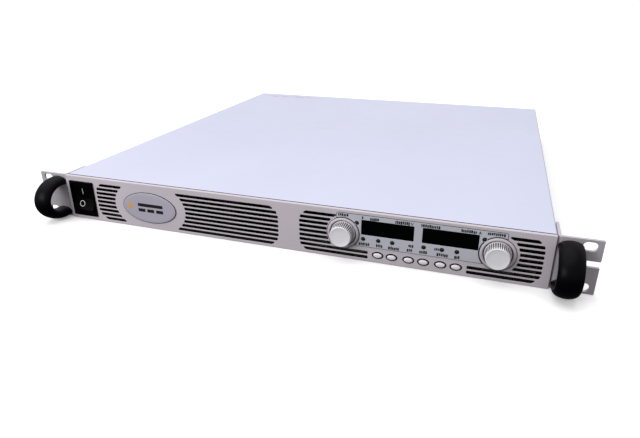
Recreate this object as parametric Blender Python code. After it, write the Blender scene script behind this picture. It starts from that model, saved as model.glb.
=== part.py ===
"""Rack-mount programmable DC bench supply, one rack unit high, as an assembly of separate sub-parts.

Metres, +Z up, +X to the right of the front panel, +Y towards the back. The origin is the centre of
the chassis footprint, on the surface that the chassis stands on.
"""

import math

import bmesh
import bpy
from mathutils import Vector

# Chassis. A 19-inch rack takes 482.6 mm over the ears and 44.45 mm for each unit of height.
CHASSIS_WIDTH = 0.4228
CHASSIS_DEPTH = 0.4415
CHASSIS_HEIGHT = 0.0424
RACK_WIDTH = 0.4826
RACK_HOLE_SPACING = 0.03175
SHEET = 0.0012
COVER_SHEET = 0.001
GAP = 0.0003
OVERCUT = 0.001
HALF_WIDTH = CHASSIS_WIDTH / 2
FRONT = -CHASSIS_DEPTH / 2
BACK = CHASSIS_DEPTH / 2
COVER_UNDERSIDE = CHASSIS_HEIGHT - COVER_SHEET
SKIRT_BOTTOM = 0.030
STEP_DROP = 0.0018
STEP_OUTER_RISE = 0.0012
STEP_INNER_RISE = 0.0007
STEP_INNER_DROP = 0.0005
WALL_SCREW_REACH = 0.004

# Front bezel, a moulded frame with a thinner front wall.
BEZEL_HEIGHT = 0.0422
BEZEL_DEPTH = 0.0030
BEZEL_WALL = 0.0023
BEZEL_RIM = 0.0018
BEZEL_CORNER = 0.0008
CASE_START = FRONT + BEZEL_DEPTH + GAP
SUBPANEL_SETBACK = 0.0015
SUBPANEL_FRONT = CASE_START + SUBPANEL_SETBACK
SUBPANEL_BACK = SUBPANEL_FRONT + SHEET
PANEL_HALF_WIDTH = HALF_WIDTH - COVER_SHEET - SHEET - 2 * GAP
SUBPANEL_VENT_LOW = 0.0045
SUBPANEL_VENT_HIGH = 0.0365
SUBPANEL_VENTS = ((-0.1775, -0.1530), (0.0225, 0.0425), (0.1905, 0.2020))
SUBPANEL_CONTROLS = (0.0465, 0.1870, 0.0030, 0.0395)
SUBPANEL_SWITCH_MARGIN = 0.0013

# Vent rows in the bezel, in four blocks.
VENT_ROWS = 9
VENT_PITCH = 0.004
VENT_FIRST_ROW = 0.004
VENT_HALF_HEIGHT = 0.0013
VENT_TOP = 0.038
VENT_BOTTOM = 0.002
VENT_A_LEFT = -0.1785
VENT_B_RIGHT = 0.002
VENT_C_LEFT = 0.0205
VENT_D_RIGHT = 0.2053
VENT_KNOB_SHIFT = 0.0007
VENT_UNDER_KNOBS = 0.010
VENT_UNDER_KNOBS_REACH = 0.0379
VENT_A_CORNERS = (0.0097, 0.0126)
VENT_B_CORNERS = (0.0110, 0.0100)
VENT_C_CORNERS = (0.0092, 0.0092)
VENT_D_CORNERS = (0.0088, 0.0092)

# Oval badge.
BADGE_X = -0.1223
BADGE_Z = 0.0202
BADGE_HALF_WIDTH = 0.027
BADGE_HALF_HEIGHT = 0.014
BADGE_THICKNESS = 0.0007
BADGE_CLEARANCE_X = 0.0365
BADGE_CLEARANCE_Z = 0.0253

# Control block: two knobs, two displays, lamps and buttons.
CONTROL_X = 0.1158
KNOB_SPREAD = 0.0584
KNOB_Z = 0.0223
KNOB_RADIUS = 0.0098
KNOB_FACE_RADIUS = 0.0086
KNOB_FRONT = FRONT - 0.009
KNOB_BACK = FRONT + 0.0052
KNOB_HOLE_RADIUS = 0.0106
KNOB_BORE = 0.0033
SHAFT_RADIUS = 0.0030
SHAFT_FRONT = KNOB_FRONT + 0.0034
SHAFT_BACK = FRONT + 0.0118
ENCODER_WIDTH = 0.0125
ENCODER_HEIGHT = 0.0134
ENCODER_FRONT = FRONT + 0.0092
ENCODER_COLLAR = 0.0045
ENCODER_COLLAR_FRONT = FRONT + 0.0060
ENCODER_BORE_BACK = FRONT + 0.0122
KNOB_VENT_CLEARANCE_X = 0.0143
KNOB_VENT_CLEARANCE_Z = 0.0158
LABEL_BOTTOM = 0.0128
LABEL_TOP = 0.0398
LABEL_HALF_WIDTH = 0.0640
LABEL_ARC_RADIUS = 0.0134
LABEL_THICKNESS = 0.0003
LABEL_CORNER = 0.0018
DISPLAY_CENTRES = (0.0926, 0.1398)
DISPLAY_WIDTH = 0.0404
DISPLAY_HEIGHT = 0.0121
DISPLAY_Z = 0.02935
WINDOW_THICKNESS = 0.0018
MODULE_WIDTH = 0.0400
MODULE_HEIGHT = 0.0126
MODULE_FRONT = FRONT + 0.0050
LAMP_RADIUS = 0.0015
LAMP_TIP = FRONT - 0.0010
LAMP_ROOT = FRONT + 0.0100
GUIDE_ARM = 0.0018
GUIDE_ROW_HALF_HEIGHT = 0.0017
GUIDE_FRONT = FRONT + 0.0092
LAMP_ROW_Z = 0.0195
LAMP_ROW_X = (0.0740, 0.0860, 0.0970, 0.1210, 0.1345, 0.1455)
LAMP_VOLTAGE = (0.0685, 0.0325)
LAMP_CURRENT = (0.1640, 0.0325)
BUTTONS = (
    ("fine_button", 0.0860),
    ("preview_button", 0.0970),
    ("protection_button", 0.1101),
    ("limit_button", 0.1215),
    ("remote_button", 0.1344),
    ("output_button", 0.1459),
)
BUTTON_Z = 0.0068
BUTTON_WIDTH = 0.0070
BUTTON_HEIGHT = 0.0038
BUTTON_HOLE_MARGIN = 0.0012
BUTTON_FRONT = FRONT - 0.0013
BUTTON_CAP_BACK = FRONT + 0.0034
BUTTON_STEM_BACK = FRONT + 0.0086
BUTTON_STEM_RADII = (0.0022, 0.0016)
BUTTON_TRAVEL = 0.0008
CONTROL_BOARD_FRONT = FRONT + 0.0140
CONTROL_BOARD_THICKNESS = 0.0016
CONTROL_BOARD_SPAN = (0.0440, 0.1876, 0.0034, 0.0390)
CONTACT_WIDTH = 0.0062
CONTACT_HEIGHT = 0.0050
CHIP_SIDE = 0.0140
CHIP_Z = 0.0215
CHIP_COLUMNS = (0.0800, 0.1180, 0.1520)
CHIP_DEPTH = 0.0036

# Power switch.
SWITCH_X = -0.1940
SWITCH_Z = 0.02075
SWITCH_WIDTH = 0.0260
SWITCH_HEIGHT = 0.0335
SWITCH_FLANGE_FRONT = FRONT - 0.0017
SWITCH_BODY_BACK = FRONT + 0.0240
SWITCH_BODY_WIDTH = 0.0244
SWITCH_BODY_HEIGHT = 0.0298
ROCKER_WIDTH = 0.0216
ROCKER_HEIGHT = 0.0240
ROCKER_PIVOT_Y = FRONT + 0.0022
ROCKER_TILT = math.radians(10)
ROCKER_VALLEY = -0.0020
ROCKER_EDGE = 0.0008
ROCKER_EDGE_DEPTH = 0.0006
ROCKER_SIDE_DEPTH = 0.0075
ROCKER_BELLY = 0.0062
ROCKER_BELLY_REACH = 0.0054
SWITCH_CORNER = 0.0006
SWITCH_CAVITY_CLEARANCE = 0.0014
SWITCH_CAVITY_BACK = FRONT + 0.0140
SWITCH_TERMINAL_WIDTH = 0.0008
SWITCH_TERMINAL_HEIGHT = 0.0063
SWITCH_TERMINAL_LENGTH = 0.0080
SWITCH_TERMINAL_OFFSETS = ((-0.005, -0.008), (-0.005, 0.008), (0.005, -0.008), (0.005, 0.008))

# Rack ears and handles.
EAR_FRONT = FRONT + 0.0015
EAR_SHEET = 0.0020
EAR_INNER = HALF_WIDTH + GAP
EAR_LEG_BACK = FRONT + 0.0280
EAR_BOTTOM = 0.0001
EAR_TOP = 0.0421
EAR_SLOT_X = 0.2328
EAR_SLOT_LENGTH = 0.0096
EAR_SLOT_HEIGHT = 0.0066
EAR_SLOT_Z = 0.0210
EAR_NOTCH_LOW = 0.0214
EAR_NOTCH_HIGH = 0.0260
EAR_NOTCH_DEPTH = 0.0095
HANDLE_X = 0.2207
HANDLE_LOW = 0.0049
HANDLE_HIGH = 0.0353
HANDLE_REACH = 0.0224
HANDLE_STRAIGHT = 0.0030
HANDLE_HALF_WIDTH = 0.0085
HANDLE_HALF_THICKNESS = 0.0047
HANDLE_HOLE_DEPTH = 0.0062
M4_RADIUS = 0.0019
M4_HEAD_RADIUS = 0.0036
M4_CLEARANCE = 0.0022
EAR_SCREW_Y = FRONT + 0.0185
EAR_SCREW_HEIGHTS = (0.0085, 0.0225)

# Fans behind the vents.
FAN_SIDE = 0.038
FAN_DEPTH = 0.020
FAN_BORE = 0.0178
FAN_Z = 0.0207
FAN_FRONT = FRONT + 0.0068
FAN_CENTRES = (("left", -0.0650), ("right", -0.0235))
FAN_HUB_RADIUS = 0.0095
FAN_BLADE_TIP = 0.0172
FAN_BLADES = 7
FAN_MOTOR_DEPTH = 0.0030

# Boards and power parts inside.
BOARD_TOP = 0.0066
BOARD_BOTTOM = 0.0050
PARTS_FLOOR = BOARD_TOP + GAP
BOARD_FRONT = FRONT + 0.050
BOARD_BACK = BACK - 0.030
BOARD_HALF_WIDTH = 0.198
STANDOFF_RADIUS = 0.0035
STANDOFF_COLUMNS = (-0.190, -0.060, 0.070, 0.190)
STANDOFF_INSET = 0.008

# Rear panel and its connectors.
REAR_INNER = BACK - 0.0016
REAR_OUTER = REAR_INNER + SHEET
INLET_X = -0.165
INLET_Z = 0.0208
POSITIVE_BAR_X = 0.120
NEGATIVE_BAR_X = 0.160
BAR_WIDTH = 0.020
BAR_THICKNESS = 0.003
BAR_BOTTOM = 0.0165
BAR_STEP = 0.0005
BAR_LENGTH_INSIDE = 0.0400
BAR_HOLE_INSET = 0.0110
BAR_BACK = BACK + 0.024
BAR_HOLE_RADIUS = 0.00425
SENSE_X = 0.0780
SIGNAL_X = -0.0230
JACKS_X = 0.0390
STUD_X = -0.1280
STUD_Z = 0.0130
CONNECTOR_Z = 0.0180
REAR_OPENINGS = (
    ((INLET_X, INLET_Z), 0.0300, 0.0262),
    (((POSITIVE_BAR_X + NEGATIVE_BAR_X) / 2, CONNECTOR_Z), 0.0730, 0.0160),
    ((SENSE_X, CONNECTOR_Z), 0.0216, 0.0106),
    ((SIGNAL_X, CONNECTOR_Z), 0.0410, 0.0100),
    ((JACKS_X, CONNECTOR_Z), 0.0306, 0.0136),
)
TALL_VENTS = 7
TALL_VENT_FIRST = -0.1115
TALL_VENT_PITCH = 0.0082
TALL_VENT_WIDTH = 0.0054
TALL_VENT_HEIGHT = 0.0270
TALL_VENT_Z = 0.0205
LONG_VENTS = 7
LONG_VENT_FIRST = -0.034
LONG_VENT_PITCH = 0.0175
LONG_VENT_WIDTH = 0.0145
LONG_VENT_HEIGHT = 0.0030
LONG_VENT_Z = 0.0325
VENT_END_RADIUS = 0.0014

ARC_STEPS = 12
ROUND_STEPS = 32
FINE_ANGLE = math.radians(35)


# ---------------------------------------------------------------- scene and materials

def clear_scene():
    for thing in list(bpy.data.objects):
        bpy.data.objects.remove(thing, do_unlink=True)


def material(name, colour, roughness, metallic=0.0):
    made = bpy.data.materials.get(name)
    if made is None:
        made = bpy.data.materials.new(name)
        made.use_nodes = True
        shader = made.node_tree.nodes["Principled BSDF"]
        shader.inputs["Base Color"].default_value = (*colour, 1.0)
        shader.inputs["Roughness"].default_value = roughness
        shader.inputs["Metallic"].default_value = metallic
        made.diffuse_color = (*colour, 1.0)
    return made


def cover_paint():
    return material("cover_paint", (0.71, 0.72, 0.86), 0.5)


def bezel_paint():
    return material("bezel_paint", (0.52, 0.47, 0.50), 0.45)


def label_print():
    return material("label_print", (0.42, 0.42, 0.50), 0.4)


def black_plastic():
    return material("black_plastic", (0.01, 0.01, 0.012), 0.35)


def handle_plastic():
    return material("handle_plastic", (0.012, 0.011, 0.014), 0.55)


def knob_plastic():
    return material("knob_plastic", (0.78, 0.77, 0.80), 0.4)


def dark_window():
    return material("dark_window", (0.008, 0.008, 0.008), 0.1)


def lamp_plastic():
    return material("lamp_plastic", (0.10, 0.10, 0.05), 0.3)


def zinc_steel():
    return material("zinc_steel", (0.42, 0.40, 0.43), 0.35, 1.0)


def plated_steel():
    return material("plated_steel", (0.60, 0.60, 0.62), 0.4, 1.0)


def screw_steel():
    return material("screw_steel", (0.55, 0.55, 0.57), 0.3, 1.0)


def circuit_board():
    return material("circuit_board", (0.03, 0.16, 0.06), 0.5)


def bare_aluminium():
    return material("bare_aluminium", (0.72, 0.73, 0.75), 0.35, 1.0)


def copper_winding():
    return material("copper_winding", (0.62, 0.27, 0.11), 0.35, 1.0)


def ferrite():
    return material("ferrite", (0.05, 0.05, 0.055), 0.6)


def capacitor_sleeve():
    return material("capacitor_sleeve", (0.03, 0.04, 0.09), 0.35)


def tinned_copper():
    return material("tinned_copper", (0.70, 0.69, 0.66), 0.3, 1.0)


def brass_plating():
    return material("brass_plating", (0.72, 0.55, 0.24), 0.3, 1.0)


# ---------------------------------------------------------------- outlines

def rectangle(centre, width, height):
    x, z = centre
    return [
        (x - width / 2, z - height / 2),
        (x + width / 2, z - height / 2),
        (x + width / 2, z + height / 2),
        (x - width / 2, z + height / 2),
    ]


def span(low_x, high_x, low_z, high_z):
    centre = ((low_x + high_x) / 2, (low_z + high_z) / 2)
    return rectangle(centre, high_x - low_x, high_z - low_z)


def arc(centre, radius_x, radius_z, start, end, steps):
    """Points along an elliptical arc from the angle start to end, both ends included."""
    points = []
    for i in range(steps + 1):
        angle = start + (end - start) * i / steps
        points.append((centre[0] + radius_x * math.cos(angle), centre[1] + radius_z * math.sin(angle)))
    return points


def oval(centre, radius_x, radius_z, steps=ROUND_STEPS):
    return arc(centre, radius_x, radius_z, 0.0, math.tau * (1 - 1 / steps), steps - 1)


def rounded_rectangle(centre, width, height, radius, steps=4):
    points = []
    for quarter, (side_x, side_z) in enumerate(((1, 1), (-1, 1), (-1, -1), (1, -1))):
        corner = (
            centre[0] + side_x * (width / 2 - radius),
            centre[1] + side_z * (height / 2 - radius),
        )
        start = quarter * math.pi / 2
        points += arc(corner, radius, radius, start, start + math.pi / 2, steps)
    return points


def mirrored(points, about_x):
    return [(2 * about_x - x, z) for x, z in reversed(points)]


# ---------------------------------------------------------------- solids

def to_world(point, level, axis):
    """A point of an outline, placed at a level along the axis that the outline is extruded on."""
    a, b = point
    return {"X": (level, a, b), "Y": (a, level, b), "Z": (a, b, level)}[axis]


def add_prism(bm, outline, low, high, axis="Y"):
    """Adds the closed prism of an outline between two levels along an axis."""
    base = [bm.verts.new(to_world(p, low, axis)) for p in outline]
    lid = [bm.verts.new(to_world(p, high, axis)) for p in outline]
    count = len(outline)
    faces = [bm.faces.new(base), bm.faces.new(list(reversed(lid)))]
    for i in range(count):
        j = (i + 1) % count
        faces.append(bm.faces.new((base[j], base[i], lid[i], lid[j])))
    bmesh.ops.recalc_face_normals(bm, faces=faces)


def add_rings(bm, rings):
    """Adds the closed skin through rings of equally many points, with a flat cap at each end."""
    loops = [[bm.verts.new(p) for p in ring] for ring in rings]
    faces = [bm.faces.new(loops[0]), bm.faces.new(list(reversed(loops[-1])))]
    for before, after in zip(loops, loops[1:]):
        count = len(before)
        for i in range(count):
            j = (i + 1) % count
            faces.append(bm.faces.new((before[j], before[i], after[i], after[j])))
    bmesh.ops.recalc_face_normals(bm, faces=faces)


def add_turned(bm, profile, centre=(0.0, 0.0), axis="Y", steps=ROUND_STEPS):
    """Adds a turned solid. The profile lists (radius, level) along the axis."""
    rings = []
    for radius, level in profile:
        rings.append([to_world(p, level, axis) for p in oval(centre, radius, radius, steps)])
    add_rings(bm, rings)


def make_object(name, bm, surface, origin=(0.0, 0.0, 0.0), smooth=False):
    """Turns a mesh built in world coordinates into an object whose origin is at the given point."""
    mesh = bpy.data.meshes.new(name)
    bmesh.ops.translate(bm, verts=bm.verts, vec=-Vector(origin))
    bm.to_mesh(mesh)
    bm.free()
    made = bpy.data.objects.new(name, mesh)
    made.location = origin
    bpy.context.scene.collection.objects.link(made)
    mesh.materials.append(surface)
    if smooth:
        mesh.shade_smooth()
        mesh.set_sharp_from_angle(angle=FINE_ANGLE)
    return made


def prism(name, outline, low, high, surface, axis="Y", origin=(0.0, 0.0, 0.0), smooth=False):
    bm = bmesh.new()
    add_prism(bm, outline, low, high, axis)
    return make_object(name, bm, surface, origin, smooth)


def turned(name, profile, surface, centre=(0.0, 0.0), axis="Y", steps=ROUND_STEPS):
    bm = bmesh.new()
    add_turned(bm, profile, centre, axis, steps)
    level = profile[0][1]
    return make_object(name, bm, surface, to_world(centre, level, axis), smooth=True)


def combine(target, bm, operation):
    """Cuts a mesh out of the target, or joins it on, with a Boolean whose operand is left as a guide."""
    operand = make_object(f"guide_{target.name}_{len(target.modifiers)}", bm, black_plastic())
    operand.hide_render = True
    operand.display_type = "WIRE"
    modifier = target.modifiers.new("combine", "BOOLEAN")
    modifier.operation = operation
    modifier.solver = "EXACT"
    modifier.object = operand


def cut_prisms(target, outlines, low, high, axis="Y"):
    bm = bmesh.new()
    for outline in outlines:
        add_prism(bm, outline, low, high, axis)
    combine(target, bm, "DIFFERENCE")


def join_prisms(target, outlines, low, high, axis="Y"):
    bm = bmesh.new()
    for outline in outlines:
        add_prism(bm, outline, low, high, axis)
    combine(target, bm, "UNION")


# ---------------------------------------------------------------- sheet metal case

def tray_profile():
    """Section of the tray: floor and side walls that step inwards behind the cover's skirts."""
    outer = HALF_WIDTH
    stepped = HALF_WIDTH - COVER_SHEET - GAP
    shoulder = SKIRT_BOTTOM - STEP_DROP
    wall_top = COVER_UNDERSIDE - GAP
    right_outer = [
        (outer, 0.0),
        (outer, shoulder),
        (stepped, shoulder + STEP_OUTER_RISE),
        (stepped, wall_top),
    ]
    right_inner = [
        (stepped - SHEET, wall_top),
        (stepped - SHEET, shoulder + STEP_INNER_RISE),
        (outer - SHEET, shoulder - STEP_INNER_DROP),
        (outer - SHEET, SHEET),
    ]
    half = right_outer + right_inner
    return half + mirrored(half, 0.0)


def standoff_places():
    places = []
    for x in STANDOFF_COLUMNS:
        for y in (BOARD_FRONT + STANDOFF_INSET, BOARD_BACK - STANDOFF_INSET):
            places.append((x, y))
    return places


def chassis_tray():
    made = prism("chassis_tray", tray_profile(), CASE_START, REAR_OUTER, plated_steel())
    bm = bmesh.new()
    for place in standoff_places():
        profile = [(STANDOFF_RADIUS, SHEET / 2), (STANDOFF_RADIUS, BOARD_BOTTOM - GAP)]
        add_turned(bm, profile, place, "Z", 10)
    combine(made, bm, "UNION")
    bm = bmesh.new()
    for side in (-1, 1):
        for height in EAR_SCREW_HEIGHTS:
            ends = sorted((side * (HALF_WIDTH + OVERCUT), side * (HALF_WIDTH - WALL_SCREW_REACH)))
            profile = [(M4_CLEARANCE, level) for level in ends]
            add_turned(bm, profile, (EAR_SCREW_Y, height), "X", 12)
    combine(made, bm, "DIFFERENCE")
    return made


def top_cover():
    """Flat cover with a short skirt down each side."""
    inner = HALF_WIDTH - COVER_SHEET
    half = [
        (HALF_WIDTH, SKIRT_BOTTOM),
        (HALF_WIDTH, CHASSIS_HEIGHT),
    ]
    inside = [(inner, COVER_UNDERSIDE), (inner, SKIRT_BOTTOM)]
    profile = half + mirrored(half, 0.0) + mirrored(inside, 0.0) + inside
    return prism("top_cover", profile, CASE_START, BACK, cover_paint())


def panel_outline():
    """Outline of the sheets that close the front and the back of the case."""
    return span(-PANEL_HALF_WIDTH, PANEL_HALF_WIDTH, SHEET + GAP, COVER_UNDERSIDE - GAP)


def front_subpanel():
    """Steel front wall behind the bezel, open behind the vents, the switch and the controls."""
    made = prism("front_subpanel", panel_outline(), SUBPANEL_FRONT, SUBPANEL_BACK, plated_steel())
    width = SWITCH_BODY_WIDTH + SUBPANEL_SWITCH_MARGIN
    height = SWITCH_BODY_HEIGHT + SUBPANEL_SWITCH_MARGIN
    holes = [rectangle((SWITCH_X, SWITCH_Z), width, height), span(*SUBPANEL_CONTROLS)]
    for left, right in SUBPANEL_VENTS:
        holes.append(span(left, right, SUBPANEL_VENT_LOW, SUBPANEL_VENT_HIGH))
    for _, x in FAN_CENTRES:
        holes.append(oval((x, FAN_Z), FAN_BORE, FAN_BORE, ROUND_STEPS))
    cut_prisms(made, holes, SUBPANEL_FRONT - OVERCUT, SUBPANEL_BACK + OVERCUT)
    return made


def rear_panel():
    made = prism("rear_panel", panel_outline(), REAR_INNER, REAR_OUTER, plated_steel())
    holes = [rectangle(*opening) for opening in REAR_OPENINGS]
    holes.append(oval((STUD_X, STUD_Z), M4_CLEARANCE, M4_CLEARANCE, 16))
    for i in range(TALL_VENTS):
        centre = (TALL_VENT_FIRST + TALL_VENT_PITCH * i, TALL_VENT_Z)
        holes.append(rounded_rectangle(centre, TALL_VENT_WIDTH, TALL_VENT_HEIGHT, VENT_END_RADIUS, 2))
    for i in range(LONG_VENTS):
        centre = (LONG_VENT_FIRST + LONG_VENT_PITCH * i, LONG_VENT_Z)
        holes.append(rounded_rectangle(centre, LONG_VENT_WIDTH, LONG_VENT_HEIGHT, VENT_END_RADIUS, 2))
    cut_prisms(made, holes, REAR_INNER - OVERCUT, REAR_OUTER + OVERCUT)
    return made


# ---------------------------------------------------------------- bezel

def corner_offset(distance, radius):
    """How far a rounded corner pulls a side in, at a distance from the end of that side."""
    if distance >= radius:
        return 0.0
    reach = radius - max(distance, 0.0)
    return radius - math.sqrt(radius**2 - reach**2)


def block_side(z, top_radius, bottom_radius):
    """How far the outer side of a vent block is pulled in at height z."""
    return corner_offset(VENT_TOP - z, top_radius) + corner_offset(z - VENT_BOTTOM, bottom_radius)


def oval_reach(z, centre_z, radius_x, radius_z):
    """Half the width of an oval at height z."""
    share = min(abs(z - centre_z) / radius_z, 1.0)
    return radius_x * math.sqrt(1 - share**2)


def badge_reach(z):
    return oval_reach(z, BADGE_Z, BADGE_CLEARANCE_X, BADGE_CLEARANCE_Z)


def knob_reach(z):
    return oval_reach(z, KNOB_Z, KNOB_VENT_CLEARANCE_X, KNOB_VENT_CLEARANCE_Z)


def vent_block_a(z):
    return VENT_A_LEFT + block_side(z, *VENT_A_CORNERS), BADGE_X - badge_reach(z)


def vent_block_b(z):
    return BADGE_X + badge_reach(z), VENT_B_RIGHT - block_side(z, *VENT_B_CORNERS)


def vent_block_c(z):
    left = VENT_C_LEFT + block_side(z, *VENT_C_CORNERS)
    if z < VENT_UNDER_KNOBS:
        return left, CONTROL_X - VENT_UNDER_KNOBS_REACH
    return left, CONTROL_X - KNOB_SPREAD + VENT_KNOB_SHIFT - knob_reach(z)


def vent_block_d(z):
    right = VENT_D_RIGHT - block_side(z, *VENT_D_CORNERS)
    if z < VENT_UNDER_KNOBS:
        return CONTROL_X + VENT_UNDER_KNOBS_REACH, right
    return CONTROL_X + KNOB_SPREAD + VENT_KNOB_SHIFT + knob_reach(z), right


def vent_slots():
    """Outlines of every vent slot. Each slot's ends follow the outline of its block."""
    slots = []
    for block in (vent_block_a, vent_block_b, vent_block_c, vent_block_d):
        for i in range(VENT_ROWS):
            row = VENT_FIRST_ROW + VENT_PITCH * i
            low, high = row - VENT_HALF_HEIGHT, row + VENT_HALF_HEIGHT
            low_left, low_right = block(low)
            high_left, high_right = block(high)
            slots.append([(low_left, low), (low_right, low), (high_right, high), (high_left, high)])
    return slots


def knob_centres():
    return (
        ("voltage", (CONTROL_X - KNOB_SPREAD, KNOB_Z)),
        ("current", (CONTROL_X + KNOB_SPREAD, KNOB_Z)),
    )


def lamp_places():
    return [(x, LAMP_ROW_Z) for x in LAMP_ROW_X] + [LAMP_VOLTAGE, LAMP_CURRENT]


def control_holes(margin):
    """Outlines of the display, lamp and button openings, each wider by a margin all round."""
    holes = []
    for x in DISPLAY_CENTRES:
        holes.append(
            rectangle((x, DISPLAY_Z), DISPLAY_WIDTH + 2 * margin, DISPLAY_HEIGHT + 2 * margin)
        )
    for place in lamp_places():
        holes.append(oval(place, LAMP_RADIUS + margin, LAMP_RADIUS + margin, 12))
    return holes


def button_outline(x, margin):
    return oval((x, BUTTON_Z), BUTTON_WIDTH / 2 + margin, BUTTON_HEIGHT / 2 + margin, 20)


def front_bezel():
    outline = rounded_rectangle((0.0, BEZEL_HEIGHT / 2), CHASSIS_WIDTH, BEZEL_HEIGHT, BEZEL_CORNER, 2)
    made = prism("front_bezel", outline, FRONT, FRONT + BEZEL_DEPTH, bezel_paint())
    pocket_width = CHASSIS_WIDTH - 2 * BEZEL_RIM
    pocket_height = BEZEL_HEIGHT - 2 * BEZEL_RIM
    pocket = rectangle((0.0, BEZEL_HEIGHT / 2), pocket_width, pocket_height)
    cut_prisms(made, [pocket], FRONT + BEZEL_WALL, FRONT + BEZEL_DEPTH + OVERCUT)
    holes = vent_slots() + control_holes(GAP)
    holes += [button_outline(x, BUTTON_HOLE_MARGIN) for _, x in BUTTONS]
    holes += [oval(centre, KNOB_HOLE_RADIUS, KNOB_HOLE_RADIUS) for _, centre in knob_centres()]
    holes.append(rectangle((SWITCH_X, SWITCH_Z), SWITCH_BODY_WIDTH + 2 * GAP, SWITCH_BODY_HEIGHT + 2 * GAP))
    cut_prisms(made, holes, FRONT - OVERCUT, FRONT + BEZEL_DEPTH + OVERCUT)
    return made


def label_outline():
    """The label's outline: wide along its top, hollowed round each knob."""
    knob_x = CONTROL_X - KNOB_SPREAD
    left = CONTROL_X - LABEL_HALF_WIDTH
    start = -math.asin((KNOB_Z - LABEL_BOTTOM) / LABEL_ARC_RADIUS)
    end = math.acos((left - knob_x) / LABEL_ARC_RADIUS)
    hollow = arc((knob_x, KNOB_Z), LABEL_ARC_RADIUS, LABEL_ARC_RADIUS, start, end, ARC_STEPS)
    centre = (left + LABEL_CORNER, LABEL_TOP - LABEL_CORNER)
    corner = arc(centre, LABEL_CORNER, LABEL_CORNER, math.pi, math.pi / 2, 3)
    side = hollow + corner
    return side + mirrored(side, CONTROL_X)


def control_label():
    low = FRONT - GAP - LABEL_THICKNESS
    made = prism("control_label", label_outline(), low, FRONT - GAP, label_print())
    cut_prisms(made, control_holes(GAP), low - OVERCUT, FRONT + OVERCUT)
    return made


def name_badge():
    outline = oval((BADGE_X, BADGE_Z), BADGE_HALF_WIDTH, BADGE_HALF_HEIGHT, 40)
    back = FRONT - GAP
    return prism("name_badge", outline, back - BADGE_THICKNESS, back, label_print())


# ---------------------------------------------------------------- power switch

def power_switch_body():
    """Housing with a front flange and a deep cavity that the rocker sits in."""
    flange = rounded_rectangle((SWITCH_X, SWITCH_Z), SWITCH_WIDTH, SWITCH_HEIGHT, SWITCH_CORNER, 2)
    back = FRONT - GAP
    made = prism("power_switch_body", flange, SWITCH_FLANGE_FRONT, back, black_plastic())
    body = rectangle((SWITCH_X, SWITCH_Z), SWITCH_BODY_WIDTH, SWITCH_BODY_HEIGHT)
    join_prisms(made, [body], SWITCH_FLANGE_FRONT + 0.0005, SWITCH_BODY_BACK)
    height = ROCKER_HEIGHT + SWITCH_CAVITY_CLEARANCE
    cavity = rectangle((SWITCH_X, SWITCH_Z), ROCKER_WIDTH + 2 * GAP, height)
    cut_prisms(made, [cavity], SWITCH_FLANGE_FRONT - OVERCUT, SWITCH_CAVITY_BACK)
    terminals = []
    for across, up in SWITCH_TERMINAL_OFFSETS:
        centre = (SWITCH_X + across, SWITCH_Z + up)
        terminals.append(rectangle(centre, SWITCH_TERMINAL_WIDTH, SWITCH_TERMINAL_HEIGHT))
    join_prisms(made, terminals, SWITCH_BODY_BACK - OVERCUT, SWITCH_BODY_BACK + SWITCH_TERMINAL_LENGTH)
    return made


def rocker_profile():
    """Section of the rocker in Y and Z about its pivot: two faces that meet in a shallow valley."""
    half = ROCKER_HEIGHT / 2
    tip = ROCKER_VALLEY - half * math.tan(ROCKER_TILT)
    upper = [
        (tip, half - ROCKER_EDGE),
        (tip + ROCKER_EDGE_DEPTH, half),
        (tip + ROCKER_SIDE_DEPTH, half),
        (ROCKER_BELLY, ROCKER_BELLY_REACH),
    ]
    lower = [(y, -z) for y, z in reversed(upper)]
    return [(ROCKER_VALLEY, 0.0)] + upper + lower


def turn(point, angle):
    """A (y, z) point turned about the origin, towards -Y at the top for a positive angle."""
    y, z = point
    return (y * math.cos(angle) - z * math.sin(angle), z * math.cos(angle) + y * math.sin(angle))


def power_rocker():
    """At rest the upper half is pressed in, so the profile is turned by the rocker's tilt."""
    pivot = (SWITCH_X, ROCKER_PIVOT_Y, SWITCH_Z)
    outline = []
    for point in rocker_profile():
        y, z = turn(point, -ROCKER_TILT)
        outline.append((y + ROCKER_PIVOT_Y, z + SWITCH_Z))
    low, high = SWITCH_X - ROCKER_WIDTH / 2, SWITCH_X + ROCKER_WIDTH / 2
    return prism("power_rocker", outline, low, high, black_plastic(), "X", pivot)


# ---------------------------------------------------------------- controls

def display(side, x):
    window = rectangle((x, DISPLAY_Z), DISPLAY_WIDTH, DISPLAY_HEIGHT)
    prism(f"{side}_display_window", window, FRONT, FRONT + WINDOW_THICKNESS, dark_window())
    module = rectangle((x, DISPLAY_Z), MODULE_WIDTH, MODULE_HEIGHT)
    prism(f"{side}_display_module", module, MODULE_FRONT, CONTROL_BOARD_FRONT - GAP, black_plastic())


def lamp_profile():
    """A light guide with a domed tip that stands a little proud of the panel."""
    return [
        (LAMP_RADIUS * 0.5, LAMP_TIP),
        (LAMP_RADIUS * 0.87, LAMP_TIP + 0.0003),
        (LAMP_RADIUS, LAMP_TIP + 0.0009),
        (LAMP_RADIUS, LAMP_ROOT),
    ]


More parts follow.
